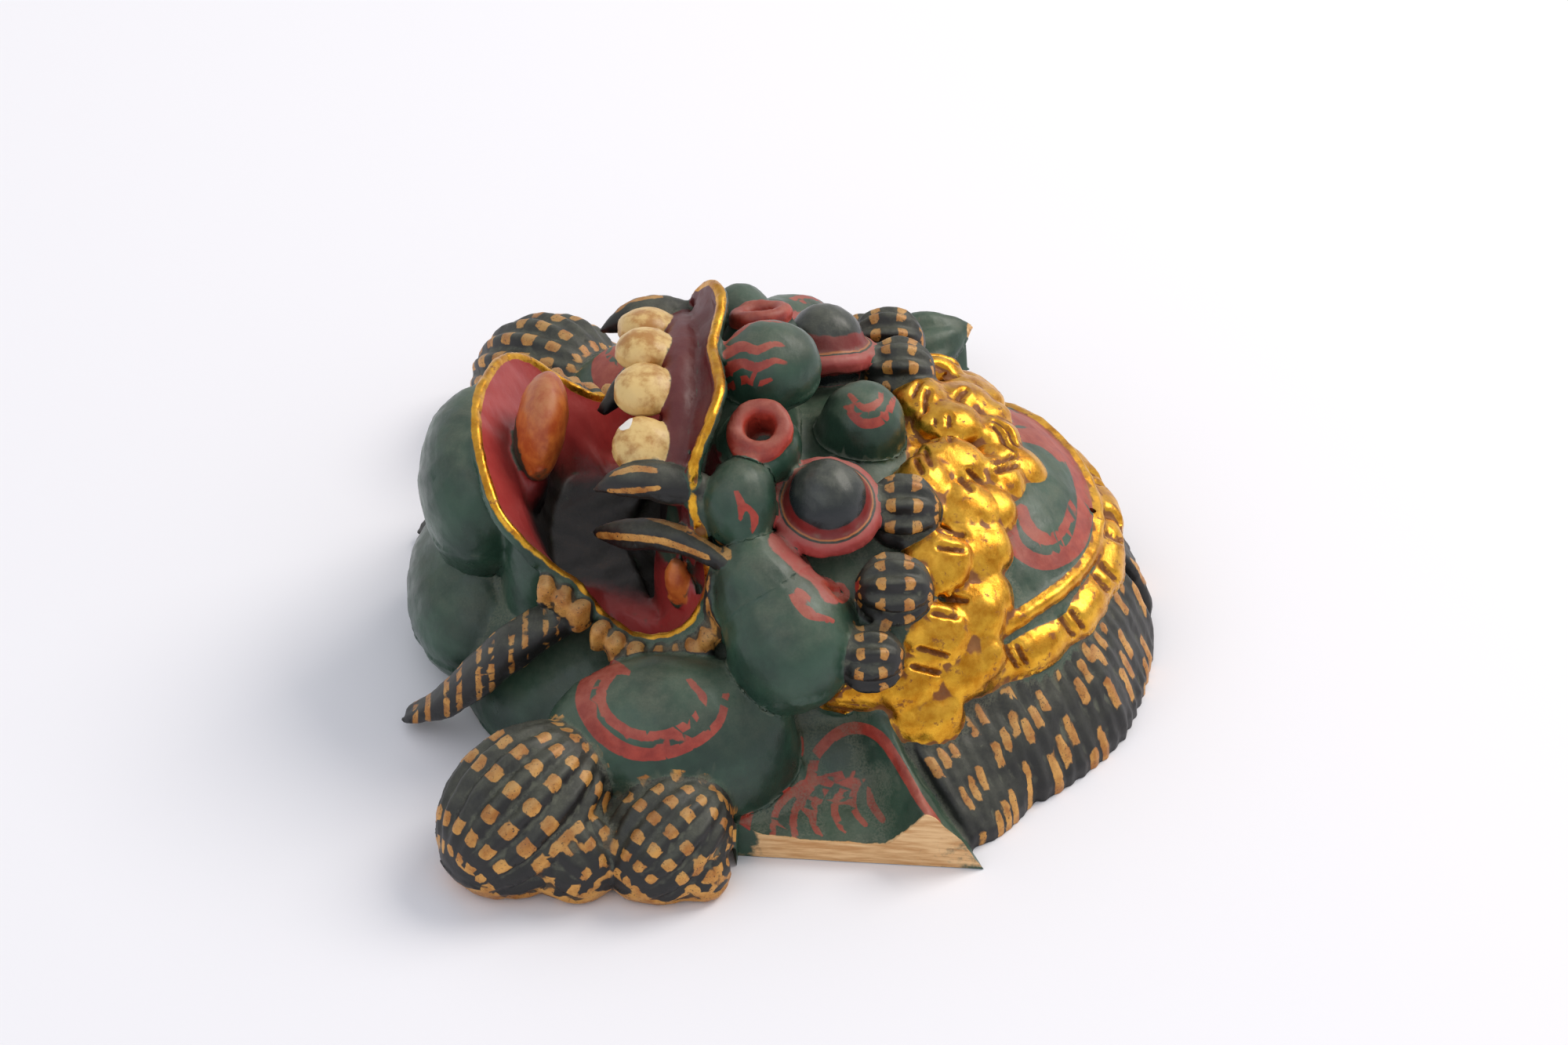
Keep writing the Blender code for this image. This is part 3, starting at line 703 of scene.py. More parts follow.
@dataclass
class Crown:
    """The dome, its gilded band and bead, the gilded leaves and the hair."""

    flutes: int = 8
    tufts: tuple = (
        ((24, -61, 27), (55, -52, 27), (45, -83, 2), (61.5, -66, 2)),
        ((53, -53, 27), (74, -33, 27), (63, -66, 2), (86.5, -40, 2)),
        ((73, -34, 27), (84, -3, 27), (86, -39, 2), (94.6, -4, 2)),
    )

    def leaves(self) -> list:
        """Returns: the gilded leaves, near side and middle."""
        gold = Paint.GOLD
        rows = (
            ((56, 0, 53.6), (10, 8.0, 4.5), (0, 22, 0)),
            ((52, -9, 56.2), (7.5, 7.0, 4.2), (8, 16, -12)),
            ((41, -8, 60.6), (9, 8, 5.0), (8, 8, 0)),
            ((50, -19, 55.2), (7.5, 6.6, 4.0), (20, 14, -10)),
            ((44, -22, 57.4), (9, 8, 4.5), (22, 12, 0)),
            ((50, -30, 51.4), (6.0, 7.0, 4.2), (32, 14, 0)),
            ((45, -33, 51.8), (9, 8.5, 4.5), (35, 10, 0)),
            ((50, -40, 44.6), (6.0, 6.6, 4.2), (42, 14, 8)),
            ((46, -45, 42.8), (8, 8.5, 5.0), (46, 10, 0)),
            ((48, -51, 35.4), (6.0, 6.8, 4.4), (52, 10, 8)),
            ((41, -54, 34.0), (9, 8.5, 5.0), (55, 6, 0)),
            ((30, -58, 33.0), (8.5, 8.5, 5.0), (58, 0, 0)),
            ((34, -17, 61.6), (7, 8.5, 4.5), (12, 0, 0)),
            ((37, -38, 54.0), (8.5, 8.5, 4.8), (34, 0, 0)),
            ((35, -62, 25.0), (9.0, 7.5, 4.6), (64, 0, 10)),
            ((34.5, -51.5, 42.2), (10.5, 8.5, 5.6), (50, 0, 0)),
        )
        return [Ball("leaf", gold, at, half, turn) for at, half, turn in rows]

    def tuft(self, name: str, edges: tuple) -> Loft:
        """Args: the name and the four corners. Returns: a fluted fan of hair."""
        top_from, top_to, foot_from, foot_to = (Vector(p) for p in edges)
        slices = []
        count = 10 * self.flutes
        for k in range(count + 1):
            t = k / count
            top, foot = top_from.lerp(top_to, t), foot_from.lerp(foot_to, t)
            away = (foot - top).normalized()
            away.z = 0
            groove = 2.3 * (1.0 - abs(math.sin(math.pi * self.flutes * t)) ** 0.7)
            tip = foot + away * (3.0 * math.sin(math.pi * t) - 1.3 * groove)
            middle = top.lerp(foot, 0.55) + Vector((0, 0, 5.0 - groove)) - away * 0.4
            lower = top.lerp(foot, 0.85) + Vector((0, 0, 4.2 - groove))
            slices.append(
                (
                    (top.x - 9 * away.x, top.y - 9 * away.y, -3.0),
                    (top.x - 7 * away.x, top.y - 7 * away.y, top.z + 1.0),
                    (top.x, top.y, top.z - groove),
                    tuple(middle),
                    tuple(lower),
                    (tip.x, tip.y, 4.0 - 0.8 * groove),
                    (tip.x - 0.6 * away.x, tip.y - 0.6 * away.y, -3.0),
                )
            )
        return Loft(name, Paint.BLACK, tuple(slices))

    def forms(self) -> list:
        """Returns: the forms."""
        made = [
            Ball("crown dome", Paint.GREEN, (44.5, 0, 17.5), (38.5, 54, 40)),
            Ball("crown base", Paint.GREEN, (28, 0, 2), (54, 62, 30)),
            Ball("diadem", Paint.GOLD, (31, 0, 16), (21, 60, 44.5)),
        ]
        dome = made[0]
        arc = [math.radians(a) for a in range(-99, 100, 2)]
        inner = []
        for a in arc:
            ahead, side = 21.0 + 57.4 * math.cos(a), 53.8 * math.sin(a)
            room = 1.0 - ((ahead - dome.at[0]) / dome.half[0]) ** 2 - (side / dome.half[1]) ** 2
            on_dome = dome.at[2] + dome.half[2] * math.sqrt(max(room, 0.0))
            inner.append((ahead, side, max(37.2, on_dome + 0.2)))
        outer = tuple((20.0 + 60.0 * math.cos(a), 56.0 * math.sin(a), 29.8) for a in arc)
        wave = tuple(6.3 - 1.1 * abs(math.cos(9.5 * a)) ** 3 for a in arc)
        made.append(Bar("crown bead", Paint.GOLD, tuple(inner), (1.9,) * len(arc)))
        made.append(Bar("crown band", Paint.GOLD, outer, wave))
        for leaf in self.leaves():
            made += [leaf] if leaf.at[1] == 0 else both(leaf)
        for k, edges in enumerate(self.tufts, 1):
            made += both(self.tuft(f"hair tuft {k}", edges))
        return made


@dataclass(frozen=True)
class Stroke:
    """A brush stroke or a cut, drawn where the camera of the picture sees it.

    Args:
        on: the forms that it may touch.
        path: its points in pixels.
        half: half its width in pixels, at each end and in the middle.
        mirror: whether the far side carries it too.
    """

    on: tuple
    path: tuple
    half: tuple = (1.0, 4.0, 1.0)
    mirror: bool = True


@dataclass
class Chart:
    """Distances in millimetres from each vertex to the edges of forms and strokes.

    Args:
        points: the vertices.
        normals: their normals.
        forms: all forms.
    """

    points: np.ndarray
    normals: np.ndarray
    forms: list
    by_name: dict = field(default_factory=dict)
    by_paint: dict = field(default_factory=dict)
    seen: dict = field(default_factory=dict)

    def __post_init__(self) -> None:
        """Works out the distance to every form once."""
        for form in self.forms:
            gap = form.distance(self.points)
            for table, key in ((self.by_name, form.name), (self.by_paint, form.paint)):
                table[key] = np.minimum(table[key], gap) if key in table else gap
        for mirror in (True, False):
            self.seen[mirror] = seen(self.points, self.normals, mirror)

    def zone(self, paint: Paint) -> np.ndarray:
        """Args: a finish. Returns: below 0 where a form with that finish is the nearest."""
        others = [gap for key, gap in self.by_paint.items() if key is not paint]
        return self.by_paint[paint] - np.minimum.reduce(others)

    def near(self, *names: str) -> np.ndarray:
        """Args: names of forms. Returns: distance to the nearest of them."""
        return np.minimum.reduce([self.by_name[name] for name in names])

    def own(self, *names: str) -> np.ndarray:
        """Args: names of forms. Returns: below 0 where one of them is the nearest form."""
        mine = self.near(*names)
        others = [gap for key, gap in self.by_name.items() if key not in names]
        return mine - np.minimum.reduce(others)

    def stroke(self, mark: Stroke) -> np.ndarray:
        """Args: a stroke. Returns: distance to its edge, below 0 inside it."""
        places, facing = self.seen[mark.mirror]
        path = np.array([tuple(p)[:2] for p in smooth_path([(*p, 0) for p in mark.path], 5)])
        t = np.linspace(0.0, 1.0, len(path))
        radii = np.interp(t, (0.0, 0.5, 1.0), mark.half)
        inside = (places > path.min(axis=0) - 30).all(axis=1)
        inside &= (places < path.max(axis=0) + 30).all(axis=1)
        inside &= facing > 0.02
        gap = np.full(len(places), FAR)
        gap[inside] = line_distance(places[inside], path, radii=radii * 1.15 + 1.0) / PX_PER_MM
        if mark.on:
            gap = np.maximum(gap, self.own(*mark.on) - 0.5)
        return gap

    def strokes(self, marks: tuple) -> np.ndarray:
        """Args: strokes. Returns: distance to the edge of the nearest."""
        return np.minimum.reduce([self.stroke(mark) for mark in marks])


NOSE = ("nose", "snout", "nostril wing")
CHEEK = ("cheek lower", "cheek base")
EAR = ("ear", "ear rim", "cheek base")
DOME = ("crown dome", "crown base", "core")
RED_STROKES = (
    Stroke(NOSE, ((928, 452), (946, 441), (966, 447), (986, 438), (1002, 442)), (5.0, 4.2, 1.0)),
    Stroke(NOSE, ((926, 474), (946, 463), (966, 469), (988, 460), (1004, 464)), (5.0, 4.2, 1.0)),
    Stroke(NOSE, ((932, 494), (950, 484), (968, 490), (986, 482)), (4.0, 3.6, 1.0)),
    Stroke(("forehead ball",), ((1080, 520), (1100, 540), (1128, 534), (1140, 508)), (3, 5, 2), False),
    Stroke(("forehead ball",), ((1084, 504), (1102, 520), (1120, 514), (1124, 500)), (2, 4, 2), False),
    Stroke(("lip knob", "snout"), ((939, 628), (946, 645), (944, 664)), (2, 4, 1)),
    Stroke(("lip knob", "snout"), ((955, 648), (963, 662), (958, 680)), (2, 4, 1)),
    Stroke(
        CHEEK,
        ((772, 846), (750, 868), (744, 900), (770, 940), (815, 962), (870, 955), (915, 925), (926, 885)),
        (7, 7.5, 3),
    ),
    Stroke(
        CHEEK,
        ((782, 858), (768, 880), (772, 908), (802, 934), (845, 938), (885, 918), (897, 890), (878, 868)),
        (4, 5, 3),
    ),
    Stroke(CHEEK, ((758, 842), (778, 846), (800, 858)), (4, 6, 3)),
    Stroke(
        EAR,
        (
            *((985, 1000), (1012, 1010), (1032, 1000), (1040, 965), (1062, 940)),
            *((1090, 928), (1122, 940), (1147, 975), (1172, 1018), (1195, 1050)),
        ),
        (3, 6, 4),
    ),
    Stroke(EAR, ((948, 1066), (955, 1035), (972, 1012), (1000, 1004)), (6, 4.6, 2)),
    Stroke(EAR, ((985, 1066), (992, 1030), (1020, 1002), (1040, 985)), (2.6, 3.8, 1)),
    Stroke(EAR, ((1015, 1068), (1012, 1040), (1032, 1008), (1056, 985)), (2.6, 3.8, 1)),
    Stroke(EAR, ((1046, 1066), (1036, 1040), (1052, 1008), (1074, 984)), (2.6, 3.8, 1)),
    Stroke(EAR, ((1076, 1060), (1064, 1034), (1074, 1006), (1092, 984)), (2.6, 3.6, 1)),
    Stroke(EAR, ((1104, 1052), (1088, 1030), (1092, 1004), (1108, 986)), (2.2, 3.4, 1)),
    Stroke(EAR, ((1126, 1046), (1112, 1026), (1108, 1004)), (3, 4, 1)),
    Stroke(EAR, ((1008, 985), (1020, 960), (1022, 940)), (1, 4, 1)),
    Stroke(("cheek inner", "cheek upper"), ((1010, 760), (1030, 782), (1062, 792)), (3, 5, 2)),
    Stroke(("cheek inner", "cheek upper"), ((1018, 752), (1036, 768)), (2, 3, 1)),
    Stroke(
        DOME,
        (
            *((1283, 530), (1330, 543), (1368, 585), (1384, 640)),
            *((1374, 695), (1335, 718), (1296, 698), (1285, 655)),
        ),
        (7, 8, 7),
        False,
    ),
    Stroke(DOME, ((1292, 553), (1332, 562), (1354, 585)), (6, 7, 3), False),
    Stroke(DOME, ((1366, 640), (1358, 672), (1338, 688), (1314, 676), (1303, 650)), (2, 6, 6), False),
)
PINK_STROKES = (
    Stroke(
        ("cheek inner", "cheek upper", "core", "snout"),
        ((992, 690), (1020, 706), (1050, 728), (1062, 756)),
        (10, 20, 12),
    ),
)
GOLD_STROKES = (
    Stroke(("fang",), ((778, 606), (808, 598), (838, 600)), (1, 3, 2)),
    Stroke(("fang",), ((776, 626), (806, 626), (840, 622)), (1, 2.5, 2)),
    Stroke(("tusk", "tusk bulb"), ((816, 657), (867, 672), (904, 690), (936, 712)), (1, 3, 5)),
    Stroke(("tusk",), ((765, 683), (842, 690), (905, 712)), (3, 3, 2)),
)
SLITS = (
    ((1188, 538), (1193, 560)), ((1206, 538), (1212, 560)), ((1180, 576), (1188, 592)),
    ((1168, 588), (1176, 602)), ((1270, 590), (1292, 582)), ((1272, 600), (1296, 594)),
    ((1236, 600), (1248, 612)), ((1226, 612), (1238, 624)), ((1242, 538), (1252, 548)),
    ((1246, 552), (1256, 562)), ((1196, 481), (1210, 483)), ((1196, 492), (1210, 494)),
    ((1163, 505), (1175, 509)), ((1173, 511), (1185, 514)), ((1198, 676), (1228, 681)),
    ((1198, 698), (1228, 702)), ((1200, 763), (1232, 766)), ((1192, 782), (1220, 786)),
    ((1172, 828), (1208, 838)), ((1164, 850), (1196, 858)), ((1284, 826), (1298, 850)),
    ((1298, 824), (1310, 846)), ((1354, 788), (1370, 810)), ((1368, 780), (1382, 800)),
    ((1398, 736), (1414, 752)), ((1406, 722), (1422, 738)), ((1414, 680), (1432, 690)),
    ((1416, 664), (1434, 672)),
)


def dashes(chart: Chart, curls: list, rows: float, fill: float) -> np.ndarray:
    """Rows of painted dashes across the ribs of curls.

    Args:
        chart: the vertex distances.
        curls: the ribbed balls.
        rows: how many rows from pole to pole.
        fill: share of a row that is painted.
    Returns:
        distance to the edge of the nearest dash, below 0 inside it.
    """
    best = np.full(len(chart.points), FAR)
    for curl in curls:
        unit = curl.local(chart.points)
        size = max(curl.half)
        across = np.arctan2(unit[:, 1], unit[:, 0]) * curl.ribs / (2 * math.pi)
        crest = np.abs(across - np.floor(across) - 0.5)
        width = 2 * math.pi * size * np.hypot(unit[:, 0], unit[:, 1]) / curl.ribs
        lean = np.arccos(np.clip(unit[:, 2] / np.linalg.norm(unit, axis=1), -1, 1))
        down = lean / math.pi * rows + 0.13 * np.sin(3.1 * np.floor(across))
        row = np.abs(down - np.floor(down) - 0.5)
        gap = np.maximum((crest - 0.33) * width, (row - fill / 2) * math.pi * size / rows)
        lost = np.sin(12.9 * np.floor(across) + 4.1 * np.floor(down)) > 0.80
        gap = np.where(lost, FAR, gap)
        gap = np.maximum(gap, (0.30 - np.hypot(unit[:, 0], unit[:, 1])) * size)
        best = np.minimum(best, np.maximum(gap, np.abs(curl.distance(chart.points)) - 1.8))
    return best


def hair_dashes(chart: Chart) -> np.ndarray:
    """Args: the vertex distances. Returns: distance to the dashes on the hair."""
    x = chart.points[:, 0]
    side = np.abs(chart.points[:, 1])
    reach = np.hypot(x - HAIR_CENTRE_X, side * 0.96)
    best = np.full(len(x), FAR)
    crown = Crown()
    for k, edges in enumerate(crown.tufts, 1):
        gaps = []
        for top, foot in (edges[::2], edges[1::2]):
            run, rise = foot[0] - top[0], foot[1] - top[1]
            gaps.append(np.abs((x - top[0]) * rise + (side + top[1]) * run) / math.hypot(run, rise))
        place = crown.flutes * gaps[0] / np.maximum(gaps[0] + gaps[1], 1e-6)
        width = (gaps[0] + gaps[1]) / crown.flutes
        flute = np.floor(place)
        down = (reach - 62.0) / 7.4 + 0.22 * flute + 0.3 * k
        row = np.abs(down - np.floor(down) - 0.5)
        gap = np.maximum((row - 0.27) * 7.4, (np.abs(place - flute - 0.5) - 0.34) * width)
        gap = np.where(np.sin(7.9 * flute + 3.7 * np.floor(down)) > 0.72, FAR, gap)
        best = np.minimum(best, np.maximum(gap, chart.own(f"hair tuft {k}")))
    return best


def lock_dashes(chart: Chart) -> np.ndarray:
    """Args: the vertex distances. Returns: distance to the dashes on the beard lock."""
    down = (chart.points[:, 0] + 52.0) / -8.4
    row = np.abs(down - np.floor(down) - 0.5)
    pair = np.abs(row - 0.2)
    names = ("beard lock 0", "beard lock 1", "beard lock 2")
    ridge = np.abs(np.sin((chart.points[:, 1] + 0.25 * chart.points[:, 0]) * 0.9))
    gap = np.maximum((pair - 0.085) * 8.4, (0.35 - ridge) * 1.5)
    return np.maximum(gap, chart.own(*names))


def fringe_faces(chart: Chart) -> np.ndarray:
    """Args: the vertex distances. Returns: distance to the painted tops of the fringe."""
    fringe = chart.own("fringe")
    level = chart.near("lip edge")
    return np.maximum(fringe + 0.5, np.abs(level - 4.1) - 2.7)


def slit_gaps(places: np.ndarray, shown: np.ndarray, reach: float) -> Iterator:
    """Finds the vertices beside each slit in the gold.

    Args:
        places: where the camera sees the vertices.
        shown: which of them may carry a slit.
        reach: how many pixels beyond a slit are looked at.
    Yields:
        which vertices are near a slit, and their distance to it in mm.
    """
    for ends in SLITS:
        line = np.array(ends, float)
        near = shown & (places > line.min(axis=0) - reach).all(axis=1)
        near &= (places < line.max(axis=0) + reach).all(axis=1)
        yield near, line_distance(places[near], line) / PX_PER_MM


def cavity(obj: bpy.types.Object, points: np.ndarray, normals: np.ndarray, rounds: int) -> np.ndarray:
    """How hollow the surface is round each vertex.

    Args:
        obj: the mesh object.
        points: its vertices in mm.
        normals: its normals.
        rounds: how often the surface is smoothed for the comparison.
    Returns:
        mm that the smoothed surface lies above the vertex.
    """
    ends = np.empty(len(obj.data.edges) * 2, np.int32)
    obj.data.edges.foreach_get("vertices", ends)
    a, b = ends.reshape(-1, 2).T
    degree = np.bincount(np.concatenate([a, b]), minlength=len(points))
    smooth = points.copy()
    for _ in range(rounds):
        total = np.stack(
            [
                np.bincount(a, smooth[b, i], len(points)) + np.bincount(b, smooth[a, i], len(points))
                for i in range(3)
            ],
            axis=1,
        )
        smooth = 0.5 * smooth + 0.5 * total / np.maximum(degree, 1)[:, None]
    return ((smooth - points) * normals).sum(axis=1)


def break_distance(points: np.ndarray) -> np.ndarray:
    """Args: points in mm. Returns: how far each is inside the plane of the broken ear."""
    turn = math.radians(BREAK_SLANT_DEG)
    away = np.array([math.sin(turn), -math.cos(turn), 0.0])
    return (np.array(BREAK_MIDDLE) - points) @ away


def sculpt(forms: list, mouth: Loft, holes: list, parts: list) -> bpy.types.Object:
    """Carves the mask from its forms.

    Args:
        forms: everything but the mouth's inside.
        mouth: the body that hollows the mouth.
        holes: the smaller cutters.
        parts: what stands in the mouth.
    Returns:
        the mesh object, dense.
    """
    body = joined([form.build() for form in forms], "mask body")
    cutters = joined([c.build() for c in (mouth, *HOLLOWS, *holes)], "cutters")
    apply_modifier(body, "BOOLEAN", operation="DIFFERENCE", solver="MANIFOLD", object=cutters)
    bpy.data.objects.remove(cutters)
    body = joined([body] + [part.build() for part in parts], "painted_mask")
    apply_modifier(body, "SMOOTH", factor=0.5, iterations=1)
    LOG.info("joined: %d vertices", len(body.data.vertices))
    return body


def blend_forms(points: np.ndarray, forms: list, reach: float = 8.0) -> np.ndarray:
    """How far the wood swells where two plain forms run into each other.

    Args:
        points: the vertices in mm.
        forms: the forms that flow together.
        reach: width of the fillet in mm.
    Returns:
        the swelling in mm.
    """
    first = np.full(len(points), 1e3)
    second = first.copy()
    for form in forms:
        gap = form.distance(points)
        second = np.minimum(second, np.maximum(gap, first))
        first = np.minimum(first, gap)
    apart = np.clip(reach - np.abs(second - first), 0.0, reach) / reach
    return np.where(first < 1.2, 0.25 * reach * apart**2, 0.0)


def carve(obj: bpy.types.Object, forms: list) -> None:
    """Cuts the fine grooves and slits into the surface and leaves it hand-worked.

    Args:
        obj: the dense mask.
        forms: the forms that flow together.
    """
    points = read_points(obj) / MM
    normals = read_normals(obj)
    write_points(obj, (points + normals * blend_forms(points, forms)[:, None]) * MM)
    apply_modifier(obj, "SMOOTH", factor=0.5, iterations=3)
    points = read_points(obj) / MM
    normals = read_normals(obj)
    places, facing = seen(points, normals, True)
    sink = np.zeros(len(points))
    for near, gap in slit_gaps(places, (facing > 0.1) & (points[:, 2] > 22.0), 16.0):
        sink[near] = np.maximum(sink[near], 1.3 * np.exp(-((gap / 0.62) ** 2)))
        sink[near] -= 0.25 * np.exp(-(((gap - 1.5) / 0.7) ** 2))
    x, y, z = points.T
    lumps = 0.20 * np.sin(x * 0.43 + 1.7 * np.sin(y * 0.23)) * np.sin(y * 0.41 + z * 0.37)
    lumps += 0.10 * np.abs(np.sin(x * 0.83 + y * 0.55 + np.sin(z * 0.6))) - 0.05
    lumps += 0.06 * np.sin(x * 1.31 + y * 0.9) * np.sin(y * 1.23 - z * 1.1 + 0.4)
    back = (normals[:, 2] < -0.3) & (z > 1.0)
    chisel = 0.5 * np.abs(np.sin(x * 0.28 + 0.35 * np.sin(y * 0.21))) * np.where(back, 1.0, 0.0)
    shift = lumps - sink + chisel
    write_points(obj, (points + normals * shift[:, None]) * MM)


def trimmed(obj: bpy.types.Object) -> None:
    """Cuts the flat back, the broken ear and the hanging hole, then thins the mesh.

    Args:
        obj: the dense mask.
    """
    bpy.ops.mesh.primitive_cube_add(size=1.0, location=(0, 0, -30 * MM), scale=(0.3, 0.3, 0.06))
    floor = bpy.context.object
    turn = math.radians(BREAK_SLANT_DEG)
    away = Vector((math.sin(turn), -math.cos(turn), 0))
    block = [size * MM for size in BREAK_BLOCK]
    centre = (Vector(BREAK_MIDDLE) + away * BREAK_BLOCK[1] / 2) * MM
    bpy.ops.mesh.primitive_cube_add(size=1.0, location=centre, rotation=(0, 0, turn), scale=block)
    snapped = bpy.context.object
    apply_modifier(snapped, "SUBSURF", subdivision_type="SIMPLE", levels=6)
    rough_break(snapped)
    lean = Vector((0.45, 0, 0.9)).to_track_quat("Z", "Y").to_euler()
    bpy.ops.mesh.primitive_cylinder_add(
        vertices=24,
        radius=NAIL_HOLE_RADIUS * MM,
        depth=NAIL_HOLE_DEPTH * MM,
        location=[place * MM for place in NAIL_HOLE_AT],
        rotation=lean,
    )
    nail = bpy.context.object
    for cutter in (floor, snapped, nail):
        select_only([cutter])
        bpy.ops.object.transform_apply(location=True, rotation=True, scale=True)
        apply_modifier(obj, "BOOLEAN", operation="DIFFERENCE", solver="MANIFOLD", object=cutter)
        bpy.data.objects.remove(cutter)
    obj.data.calc_loop_triangles()
    count = len(obj.data.loop_triangles)
    if count > MOST_TRIANGLES:
        apply_modifier(obj, "DECIMATE", ratio=MOST_TRIANGLES / count)
    LOG.info("trimmed: %d of %d triangles kept", len(obj.data.polygons), count)


def rough_break(obj: bpy.types.Object) -> None:
    """Args: the block that stands for the broken-off wood. Its near face gets long splinters."""
    points = read_points(obj)
    across, up = points[:, 0] * BREAK_BLOCK[0], points[:, 2] * BREAK_BLOCK[2]
    inner = points[:, 1] > 0.49
    torn = 0.22 * np.sin(up * 2.1 + 0.6 * np.sin(across * 0.11)) + 0.16 * np.sin(up * 4.7 + across * 0.05)
    torn += 0.25 * np.sin(across * 0.16 + up * 0.3)
    points[inner, 1] += torn[inner] / BREAK_BLOCK[1]
    write_points(obj, points)


def lip_sides(points: np.ndarray, normals: np.ndarray) -> tuple:
    """Where points lie beside the edge of the lips.

    Args:
        points: the vertices in mm.
        normals: their normals.
    Returns:
        a distance below 0 on the inner face of the lips, and one above 0 outside their edge.
    """
    gap = np.full(len(points), 1e3)
    along = np.zeros(len(points))
    drop = np.zeros(len(points))
    facing = np.zeros(len(points))
    for spot in lip_loop():
        way = np.array(shifted(spot, 1.0, 0.0) - spot)
        off = points - np.array(spot)
        reach = np.linalg.norm(off, axis=1)
        closer = reach < gap
        gap = np.where(closer, reach, gap)
        along = np.where(closer, off @ way, along)
        drop = np.where(closer, -off[:, 2], drop)
        facing = np.where(closer, normals @ way, facing)
    inner = np.maximum(np.maximum(0.7 - along, gap - 15.0), drop - 6.0 - along)
    outward = np.where(gap < 12.0, -0.6 - along, -FAR)
    return np.maximum(inner, -0.05 - facing), outward


